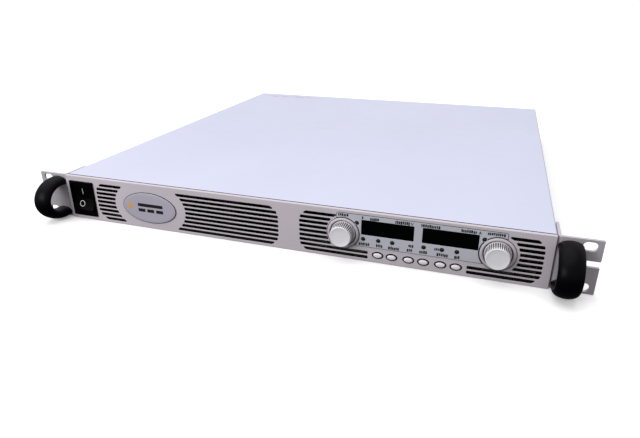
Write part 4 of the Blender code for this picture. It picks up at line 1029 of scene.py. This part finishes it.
def lamps():
    """Domed lamp tips on one moulded guide behind the panel."""
    bm = bmesh.new()
    (left, top), (right, _) = LAMPS[-2:]
    low, high = LAMP_ROW_Z - GUIDE_ROW_HALF_HEIGHT, LAMP_ROW_Z + GUIDE_ROW_HALF_HEIGHT
    half = [(left - GUIDE_ARM, top + GUIDE_ARM), (left - GUIDE_ARM, low)]
    inside = [(left + GUIDE_ARM, high), (left + GUIDE_ARM, top + GUIDE_ARM)]
    middle = (left + right) / 2
    outline = half + mirrored(half, middle) + mirrored(inside, middle) + inside
    add_prism(bm, rounded(outline, 0.0005, 3), FRONT + 0.0092, FRONT + 0.0137)
    for place in LAMPS:
        profile = []
        for i in range(7):
            angle = math.pi / 2 * (0.06 + 0.94 * i / 6)
            profile.append((LAMP_TIP * math.sin(angle), FRONT - 0.0010 + 0.0009 * (1 - math.cos(angle))))
        profile.append((LAMP_TIP, FRONT + 0.0098))
        add_turned(bm, profile, place, 24)
    make("lamp_tips", bm, LAMP, "lamp_plastic", nodes=["light_guide"], flat=False)


# ---- ears, handles and screws

def ear(side):
    """Bent zinc-plated bracket with two rack slots and a notch open to its outer edge."""
    points = [(EAR_INNER, EAR_LEG_BACK), (EAR_INNER, EAR_FRONT), (EAR_TIP, EAR_FRONT)]
    flat_front = EAR_LEG_BACK - EAR_FRONT - EAR_BEND_RADIUS + EAR_BEND_RADIUS * math.pi / 2

    def across(x):
        return flat_front + x - EAR_INNER - EAR_BEND_RADIUS

    holes = [rounded_box((across(EAR_SLOT_X), z), 0.0096, 0.0066, 0.00329, 8) for z in EAR_SLOT_Z]
    holes += [circle((across(HANDLE_X), z), SCREW_HOLE) for z in (HANDLE_LOW, HANDLE_HIGH)]
    holes += [circle((EAR_LEG_BACK - EAR_SCREW_Y, z), SCREW_HOLE) for z in EAR_SCREW_Z]
    parts = fold_parts(points, [EAR_BEND_RADIUS])
    total = sheet_length(parts)
    inner = total - EAR_NOTCH_DEPTH
    outline = [(0.0, EAR_LOW), (total, EAR_LOW), (total, EAR_NOTCH[0]), (inner, EAR_NOTCH[0]),
               (inner, EAR_NOTCH[1]), (total, EAR_NOTCH[1]), (total, EAR_HIGH), (0.0, EAR_HIGH)]
    bm = bmesh.new()
    add_plate(bm, rounded(outline, 0.0007, 5), holes, 0.0, EAR_SHEET, 0.00025)
    fold(bm, parts, lambda point, height: (side * point.x, point.y, height))
    name = side_name(side)
    make(f"ear_{name}", bm, EAR, "ear_steel", nodes=[f"rack_ear_{name}"])


def side_name(side):
    return "right" if side > 0 else "left"


def handle(side):
    """Smooth bow handle of oval section, swept between its two feet."""
    foot = EAR_FRONT - 0.0001
    middle = (HANDLE_LOW + HANDLE_HIGH) / 2
    half = (HANDLE_HIGH - HANDLE_LOW) / 2
    bow = HANDLE_REACH - HANDLE_STRAIGHT
    bend = FRONT - HANDLE_STRAIGHT
    path = [((foot, HANDLE_LOW), (-1.0, 0.0)), ((foot - 0.0006, HANDLE_LOW), (-1.0, 0.0))]
    for i in range(49):
        angle = math.pi * i / 48
        heading = Vector((-bow * math.cos(angle), half * math.sin(angle))).normalized()
        path.append(((bend - bow * math.sin(angle), middle - half * math.cos(angle)), heading))
    path += [((foot - 0.0006, HANDLE_HIGH), (1.0, 0.0)), ((foot, HANDLE_HIGH), (1.0, 0.0))]
    rings = []
    last = len(path) - 1
    for index, ((y, z), (along_y, along_z)) in enumerate(path):
        share = 0.94 if index in (0, last) else 1.0
        ring = []
        for a, b in oval((0, 0), HANDLE_RADII[0] * share, HANDLE_RADII[1] * share, 40):
            ring.append((side * HANDLE_X + a, y - along_z * b, z + along_y * b))
        rings.append(ring)
    bm = bmesh.new()
    add_skin(bm, rings)
    name = side_name(side)
    make(f"bow_handle_{name}", bm, HANDLE, "handle_plastic", nodes=[f"handle_{name}"], angle=60, flat=False)


def cross_outline(reach_out, half_width):
    """A plus-shaped drive recess."""
    points = []
    for quarter in range(4):
        angle = quarter * math.pi / 2
        for a, b in ((reach_out, -half_width), (reach_out, half_width), (half_width, half_width)):
            points.append((a * math.cos(angle) - b * math.sin(angle),
                           a * math.sin(angle) + b * math.cos(angle)))
    return points


def add_recess(bm, plus, levels, axis, centre):
    """A cross recess down from a screw head's face. Gives its mouth."""
    loops = [add_ring(bm, plus, level, axis, centre) for level in levels]
    bridge(bm, loops)
    bm.faces.new(loops[-1])
    return loops[0]


HEAD_PROFILE = ((1.0, 0.0), (1.0, 0.45), (0.96, 0.72), (0.84, 0.92), (0.62, 1.0))


def add_screw_head(bm, centre, axis, level, direction, radius, height, shank, length):
    """Pan head with a cross recess, and a plain shank. Direction is the way that the head faces."""
    rise = direction * height
    loops = [add_ring(bm, circle((0, 0), radius * share, 32), level + rise * up, axis, centre)
             for share, up in HEAD_PROFILE]
    bridge(bm, loops)
    plus = cross_outline(radius * 0.42, radius * 0.10)
    mouth = add_recess(bm, plus, (level + rise, level + rise * 0.35), axis, centre)
    fill(bm, [loops[-1], mouth])
    neck = [add_ring(bm, circle((0, 0), shank, 32), level - direction * step, axis, centre)
            for step in (0.0, length)]
    bridge(bm, neck)
    fill(bm, [loops[0], neck[0]])
    bm.faces.new(neck[-1])


BOLT_HEAD = 0.0036
BOLT_SHANK = 0.0019
SHEET_GAP = 0.0001


def bolt(name, node, centre, axis, level, direction, height, length):
    bm = bmesh.new()
    add_screw_head(bm, centre, axis, level, direction, BOLT_HEAD, height, BOLT_SHANK, length)
    make(name, bm, SCREW, "screw_steel", nodes=[node])


def screws(side):
    name = side_name(side)
    back = EAR_FRONT + EAR_SHEET + SHEET_GAP
    for end, z in (("low", HANDLE_LOW), ("high", HANDLE_HIGH)):
        place = (side * HANDLE_X, z)
        bolt(f"handle_bolt_{name}_{end}", f"handle_screw_{name}_{end}", place, "Y", back, 1.0, 0.0024, 0.0060)
    outer = side * (EAR_INNER + EAR_SHEET + SHEET_GAP)
    for end, z in zip(("low", "high"), EAR_SCREW_Z):
        place = (EAR_SCREW_Y, z)
        bolt(f"ear_bolt_{name}_{end}", f"ear_screw_{name}_{end}", place, "X", outer, side, 0.0018, 0.0048)


# ---- case

SKIRT_BOTTOM = 0.030
COVER_SHEET = 0.001
SHEET = 0.0012
COVER_BENDS = [0.0016, 0.0016]
TRAY_BENDS = [0.0006, 0.0006, 0.0018, 0.0018, 0.0006, 0.0006]
SIDE_SCREW_UP = 0.0060
SIDE_SCREW_Y = (-0.165, -0.020, 0.130, 0.205)
BOTTOM_SCREWS = [(x, y) for x in (-0.190, -0.060, 0.070, 0.190) for y in (-0.16275, 0.18275)]


def top_cover():
    points = [(HALF_WIDTH, SKIRT_BOTTOM), (HALF_WIDTH, CASE_TOP), (-HALF_WIDTH, CASE_TOP),
              (-HALF_WIDTH, SKIRT_BOTTOM)]
    parts = fold_parts(points, COVER_BENDS)
    ends = (SIDE_SCREW_UP, sheet_length(parts) - SIDE_SCREW_UP)
    holes = [circle((across, y), SCREW_HOLE) for y in SIDE_SCREW_Y for across in ends]
    case_sheet("cover_shell", parts, CASE_FRONT + 0.0003, CASE_BACK, COVER_SHEET, holes, COVER, "cover_paint",
               "top_cover")
    bm = bmesh.new()
    for side in (-1, 1):
        for y in SIDE_SCREW_Y:
            add_flush_screw(bm, (y, SKIRT_BOTTOM + SIDE_SCREW_UP), "X", side * (HALF_WIDTH - SHEET_GAP), side)
    make("cover_screws", bm, SCREW, "screw_steel")
    # Black strip along the seam between bezel and cover, just below the cover's top: a painted shadow line in
    # the seam.
    seam = rectangle((0.0, (BEZEL_HIGH.y + CASE_FRONT) / 2), 2 * HALF_WIDTH - 0.002, 0.0009)
    low, high = CASE_TOP - 0.0012, CASE_TOP - 0.00008
    prisms("seam_painted_shadow", [seam], low, high, MATT_BLACK, "black_plastic", axis="Z")


FLUSH_HEAD = 0.0021
FLUSH_PROFILE = ((0.5, -0.0011), (0.96, -0.0003), (1.0, -0.0001), (0.95, 0.0))


def add_flush_screw(bm, centre, axis, level, direction):
    """Countersunk head that sits just below the sheet's face."""
    loops = [add_ring(bm, circle((0, 0), FLUSH_HEAD * share, 32), level + direction * rise, axis, centre)
             for share, rise in FLUSH_PROFILE]
    bridge(bm, loops)
    plus = cross_outline(FLUSH_HEAD * 0.55, FLUSH_HEAD * 0.13)
    mouth = add_recess(bm, plus, (level, level - direction * 0.0006), axis, centre)
    fill(bm, [loops[-1], mouth])
    bm.faces.new(loops[0])


def chassis_tray():
    stepped = HALF_WIDTH - 0.0013
    shoulder = SKIRT_BOTTOM - 0.0018
    half = [(HALF_WIDTH, 0.0), (HALF_WIDTH, shoulder), (stepped, shoulder + 0.0012),
            (stepped, CASE_TOP - 0.0013)]
    parts = fold_parts([(-x, z) for x, z in reversed(half)] + half, TRAY_BENDS)
    middle = sheet_length(parts) / 2
    holes = [circle((middle + x, y), SCREW_HOLE) for x, y in BOTTOM_SCREWS]
    case_sheet("tray_shell", parts, CASE_FRONT, REAR_OUTER, SHEET, holes, STEEL, "case_steel", "chassis_tray")
    bm = bmesh.new()
    for place in BOTTOM_SCREWS:
        add_flush_screw(bm, place, "Z", SHEET_GAP, -1.0)
    make("bottom_screws", bm, SCREW, "screw_steel")


# ---- back

REAR_OPENINGS = (
    (INLET, 0.0300, 0.0262),
    ((0.140, CONNECTOR_Z), 0.0730, 0.0160),
    ((SENSE_X, CONNECTOR_Z), 0.0216, 0.0106),
    ((SIGNAL_X, CONNECTOR_Z), 0.0410, 0.0100),
    ((JACKS_X, CONNECTOR_Z), 0.0306, 0.0136),
)


PLUS_AND_MINUS = (((0.0965, 0.018), (0.1005, 0.018)), ((0.0985, 0.016), (0.0985, 0.020)),
                  ((0.1795, 0.018), (0.1835, 0.018)))


def rear_panel():
    holes = [rounded_box(*opening, 0.0006) for opening in REAR_OPENINGS]
    holes.append(circle(EARTH, SCREW_HOLE))
    for i in range(7):
        holes.append(rounded_box((-0.1115 + 0.0082 * i, 0.0205), 0.0054, 0.0270, 0.0026, 8))
        holes.append(rounded_box((-0.034 + 0.0175 * i, 0.0325), 0.0145, 0.0030, 0.00145, 6))
    low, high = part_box("rear_panel")
    outline = rounded_box((0.0, (low.z + high.z) / 2), high.x - low.x, high.z - low.z, 0.0006)
    plate("rear_sheet", outline, holes, 0.0, SHEET, 0.00015, on_back, STEEL, "case_steel", ["rear_panel"])
    signs = [stroke(start, end, 0.0007) for start, end in PLUS_AND_MINUS]
    low, high = REAR_OUTER - 0.00001, REAR_OUTER + 0.00006
    prisms("terminal_signs", signs, low, high, INK, "label_print", flat=False)


INLET_CAVITY = ((-0.0122, -0.0084), (0.0122, -0.0084), (0.0122, 0.0042), (0.0080, 0.0084), (-0.0080, 0.0084),
                (-0.0122, 0.0042))
INLET_PINS = ((0.0, 0.0030), (-0.0070, -0.0010), (0.0070, -0.0010))


def around_inlet(places):
    return [(INLET[0] + a, INLET[1] + b) for a, b in places]


def power_inlet():
    front = -0.0023
    flange = rounded_box(INLET, 0.0340, 0.0300, 0.0022, 6)
    body = rounded_box(INLET, 0.0290, 0.0252, 0.0008, 6)
    outside = rim(flange, 1, front, -0.0003, 0.0004) + [(body, -0.0003), (body, 0.0217)]
    inside = rim(rounded(around_inlet(INLET_CAVITY), 0.0010, 4), -1, front, 0.0137, 0.0003)
    housing("mains_inlet", outside, [inside], on_back, MATT_BLACK, "power_inlet")
    pins = [rectangle(place, 0.0020, 0.0040) for place in around_inlet(INLET_PINS)]
    low, high = REAR_OUTER - 0.0140, REAR_OUTER - 0.0008
    prisms("mains_pins", pins, low, high, TINNED, "tinned_copper", bevel=0.0004)


SIGNAL_PIN_ROWS = ((13, 0.0195), (12, 0.0165))
SIGNAL_PIN_PITCH = 0.00277


def signal_connector():
    """Two rows of contacts in a metal shell with slanted sides."""
    bm = bmesh.new()
    flange = rounded_box((SIGNAL_X, CONNECTOR_Z), 0.0530, 0.0125, 0.002, 5)
    corners = ((-0.0179, 0.0138), (0.0179, 0.0138), (0.0193, 0.0222), (-0.0193, 0.0222))
    shell = rounded([(SIGNAL_X + a, z) for a, z in corners], 0.0020, 5)
    inner = REAR_OUTER - 0.0015
    add_prism(bm, flange, inner - 0.0012, inner)
    hollow = offset(shell, -0.0005)
    lip = REAR_OUTER + 0.0050
    rings = ((shell, inner - 0.0005), (shell, lip - 0.0002), (offset(shell, -0.0002), lip), (hollow, lip),
             (hollow, inner + 0.0004))
    loops = [add_ring(bm, outline, level, "Y", (0, 0)) for outline, level in rings]
    bridge(bm, loops)
    bm.faces.new(loops[0])
    bm.faces.new(loops[-1])
    make("signal_shell", bm, TINNED, "case_steel", nodes=["signal_connector"])
    holes = []
    for count, up in SIGNAL_PIN_ROWS:
        for i in range(count):
            holes.append(circle((SIGNAL_X + SIGNAL_PIN_PITCH * (i - (count - 1) / 2), up), 0.0006, 12))
    plate("signal_insert", offset(shell, -0.0006), holes, -0.0040, 0.0008, 0.0002, on_back, MATT_BLACK,
          "black_plastic")


def sense_plug():
    """Five wire ways, each with its screw above it."""
    places = [SENSE_X + 0.0040 * (i - 2) for i in range(5)]
    ways = [rounded_box((x, 0.0160), 0.0026, 0.0030, 0.0004, 3) for x in places]
    ways += [circle((x, 0.0204), 0.0012, 16) for x in places]
    outline = rounded_box((SENSE_X, CONNECTOR_Z), 0.0210, 0.0100, 0.0005, 3)
    plate("sense_plug", outline, ways, -0.0050, 0.0072, 0.0002, on_back, GREEN_PLUG, "black_plastic",
          ["sense_connector"])


def data_jacks():
    """Two network sockets in one block, with eight contacts each."""
    sockets = [rounded_box((JACKS_X + shift, 0.0175), 0.0118, 0.0080, 0.0003, 2) for shift in JACK_SHIFTS]
    outline = rounded_box((JACKS_X, CONNECTOR_Z), 0.0300, 0.0130, 0.0005, 3)
    cavities = [rim(socket, -1, -0.0006, 0.0130, 0.0002) for socket in sockets]
    outside = rim(outline, 1, -0.0006, 0.0152, 0.0003)
    housing("data_jacks", outside, cavities, on_back, MATT_BLACK, "network_jacks")
    contacts = [rectangle((JACKS_X + shift + 0.00102 * (i - 3.5), 0.0207), 0.0005, 0.0004)
                for shift in JACK_SHIFTS for i in range(8)]
    prisms("data_contacts", contacts, REAR_OUTER - 0.0125, REAR_OUTER - 0.0030, BRASS, "brass_plating")


def on_level(top):
    return lambda point: Vector((point[0], point[1], top - point[2]))


def bus_bars():
    for name, x in (("positive", 0.120), ("negative", 0.160)):
        low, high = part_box(f"output_bar_{name}")
        outline = rounded_box((x, (low.y + high.y) / 2), 0.020, high.y - low.y, 0.0020, 6)
        bolt_place = (x, high.y - 0.0110)
        plate(f"bus_bar_{name}", outline, [circle(bolt_place, 0.00425, 48)], 0.0, 0.0025, 0.0003,
              on_level(0.0190), TINNED, "tinned_copper", [f"output_bar_{name}"])
        start = REAR_OUTER + 0.001
        pad = rounded_box((x, (start + high.y) / 2), 0.0199, high.y - start - 0.0001, 0.0020, 6)
        plate(f"bus_pad_{name}", pad, [circle(bolt_place, 0.0043, 48)], 0.0, 0.0006, 0.0002, on_level(0.0195),
              TINNED, "tinned_copper")


def ground_terminal():
    """Threaded stud with its nut."""
    profile = [(0.0038, REAR_OUTER - 0.0035), (0.0038, REAR_OUTER - 0.0015), (0.0018, REAR_OUTER - 0.0015)]
    level = REAR_OUTER - 0.0013
    while level < REAR_OUTER + 0.0100:
        profile += [(0.0019, level), (0.0019, level + 0.00008), (0.00165, level + 0.00035)]
        level += THREAD_PITCH
    profile += [(0.0018, REAR_OUTER + 0.0106), (0.0014, REAR_OUTER + 0.0110)]
    bm = bmesh.new()
    add_turned(bm, profile, EARTH, 32)
    make("earth_stud", bm, BRASS, "brass_plating", nodes=["ground_stud"], flat=False)
    plate("earth_nut", circle(EARTH, 0.0040, 6), [circle(EARTH, SCREW_HOLE, 32)], -0.0035, -0.0003, 0.0003,
          on_back, BRASS, "brass_plating", ["ground_nut"])


# ---- CAD nodes that stay

CARRIED = (
    (("voltage_display_module", "current_display_module"), MATT_BLACK, 0.0003),
    (("voltage_encoder", "current_encoder"), MATT_BLACK, 0.0002),
    (("voltage_shaft", "current_shaft"), SCREW, 0.0),
    (("control_board", "main_board"), BOARD, 0.0),
    # The front subpanel is near-black as painted shade behind the vents.
    (("front_subpanel",), SUBPANEL_SHADE, 0.0),
    (("fan_frame_left", "fan_frame_right", "fan_rotor_left", "fan_rotor_right"), MATT_BLACK, 0.0002),
    (("primary_heatsink", "secondary_heatsink", "line_filter"), ALUMINIUM, 0.0002),
    (("transformer_core",), FERRITE, 0.0004),
    (("transformer_winding", "output_inductor"), WIRE, 0.0008),
    (("bulk_capacitor",), SLEEVE, 0.0005),
    (("output_insulator",), MATT_BLACK, 0.0003),
)


def dress_carried():
    for names, surface, width in CARRIED:
        for name in names:
            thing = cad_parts[name]
            thing.data.materials.clear()
            thing.data.materials.append(surface)
            if width:
                welded = thing.modifiers.new("Weld", "WELD")
                welded.merge_threshold = 0.00001
                round_edges(thing, width, 2)


# ---- stage

CAMERA_PLACE = (0.16128, -0.58116, 0.19752)
CAMERA_TURN = (-0.328795, -0.411011, -0.003606)
CAMERA_LENS = 29.46
FLOOR_REACH = 25.0
FLOOR_LEVEL = -0.00005


def camera():
    yaw, pitch, roll = CAMERA_TURN
    ahead = Vector((math.sin(yaw) * math.cos(pitch), math.cos(yaw) * math.cos(pitch), math.sin(pitch)))
    right = Vector((math.cos(yaw), -math.sin(yaw), 0.0))
    up = right.cross(ahead)
    side = right * math.cos(roll) + up * math.sin(roll)
    top = -right * math.sin(roll) + up * math.cos(roll)
    turn = Matrix((side, top, -ahead)).transposed()
    data = bpy.data.cameras.new("camera")
    data.lens = CAMERA_LENS
    data.sensor_width = 36.0
    data.clip_start, data.clip_end = 0.01, 60.0
    made = bpy.data.objects.new("camera", data)
    made.matrix_world = Matrix.Translation(CAMERA_PLACE) @ turn.to_4x4()
    bpy.context.scene.collection.objects.link(made)
    bpy.context.scene.camera = made


def floor():
    bm = bmesh.new()
    corners = rectangle((0.0, 0.0), 2 * FLOOR_REACH, 2 * FLOOR_REACH)
    bm.faces.new(add_ring(bm, corners, FLOOR_LEVEL, "Z", (0, 0)))
    mesh = bpy.data.meshes.new("floor")
    bm.to_mesh(mesh)
    bm.free()
    made = bpy.data.objects.new("floor", mesh)
    bpy.context.scene.collection.objects.link(made)
    surface = Shader("pale_floor", (0.93, 0.93, 0.93), 0.9, specular=0.1)
    tone = surface.noise(3.0, 2.0)
    surface.colour(surface.mix(tone, (0.925, 0.925, 0.925), (0.935, 0.935, 0.935)))
    surface.shader.inputs["Emission Color"].default_value = (1.0, 1.0, 1.0, 1.0)
    surface.shader.inputs["Emission Strength"].default_value = 0.22
    mesh.materials.append(surface.material)
    made.visible_diffuse = False
    made.visible_glossy = False


def add_light(name, kind, back, place, **settings):
    """A light whose back faces along a direction."""
    data = bpy.data.lights.new(name, kind)
    for key, value in settings.items():
        setattr(data, key, value)
    made = bpy.data.objects.new(name, data)
    made.location = place
    made.rotation_euler = Vector(back).to_track_quat("Z", "Y").to_euler()
    bpy.context.scene.collection.objects.link(made)


def lights():
    world = bpy.data.worlds.new("studio")
    world.use_nodes = True
    tree = world.node_tree
    backdrop = tree.nodes["Background"]
    backdrop.inputs["Color"].default_value = (1.0, 1.0, 1.0, 1.0)
    heading = tree.nodes.new("ShaderNodeTexCoord").outputs["Generated"]
    split = tree.nodes.new("ShaderNodeSeparateXYZ")
    ramp = tree.nodes.new("ShaderNodeMapRange")
    for socket, value in (("From Min", -0.3), ("From Max", 0.4), ("To Min", 0.07), ("To Max", 0.64)):
        ramp.inputs[socket].default_value = value
    tree.links.new(heading, split.inputs[0])
    tree.links.new(split.outputs[2], ramp.inputs["Value"])
    tree.links.new(ramp.outputs[0], backdrop.inputs["Strength"])
    bpy.context.scene.world = world
    add_light("left_softbox", "AREA", (-0.36, -0.66, 0.36), (-0.45, -0.88, 0.40),
              shape="RECTANGLE", size=0.6, size_y=0.4, energy=4.0)
    add_light("back_softbox", "AREA", (-0.20, 1.00, 0.03), (-0.20, 1.20, 0.052),
              shape="RECTANGLE", size=0.9, size_y=0.10, energy=1.6)
    add_light("overhead", "SUN", (-0.25, 0.10, 1.0), (0.0, 0.0, 0.0), energy=1.45, angle=math.radians(70))
    bpy.context.scene.view_settings.view_transform = "Standard"


# ---- assembly

bezel()
knob_collars()
control_label()
legends()
badge()
switch_housing()
rocker()
for knob_side, knob_centre in knob_centres().items():
    knob(knob_side, knob_centre)
for button_name, button_x in zip(BUTTONS, BUTTON_X):
    button(button_name, button_x)
for window_side, window_x in zip(("voltage", "current"), DISPLAY_CENTRES):
    display(window_side, window_x)
lamps()
for ear_side in (-1, 1):
    ear(ear_side)
    handle(ear_side)
    screws(ear_side)
top_cover()
chassis_tray()
rear_panel()
power_inlet()
signal_connector()
sense_plug()
data_jacks()
bus_bars()
ground_terminal()
dress_carried()
camera()
floor()
lights()
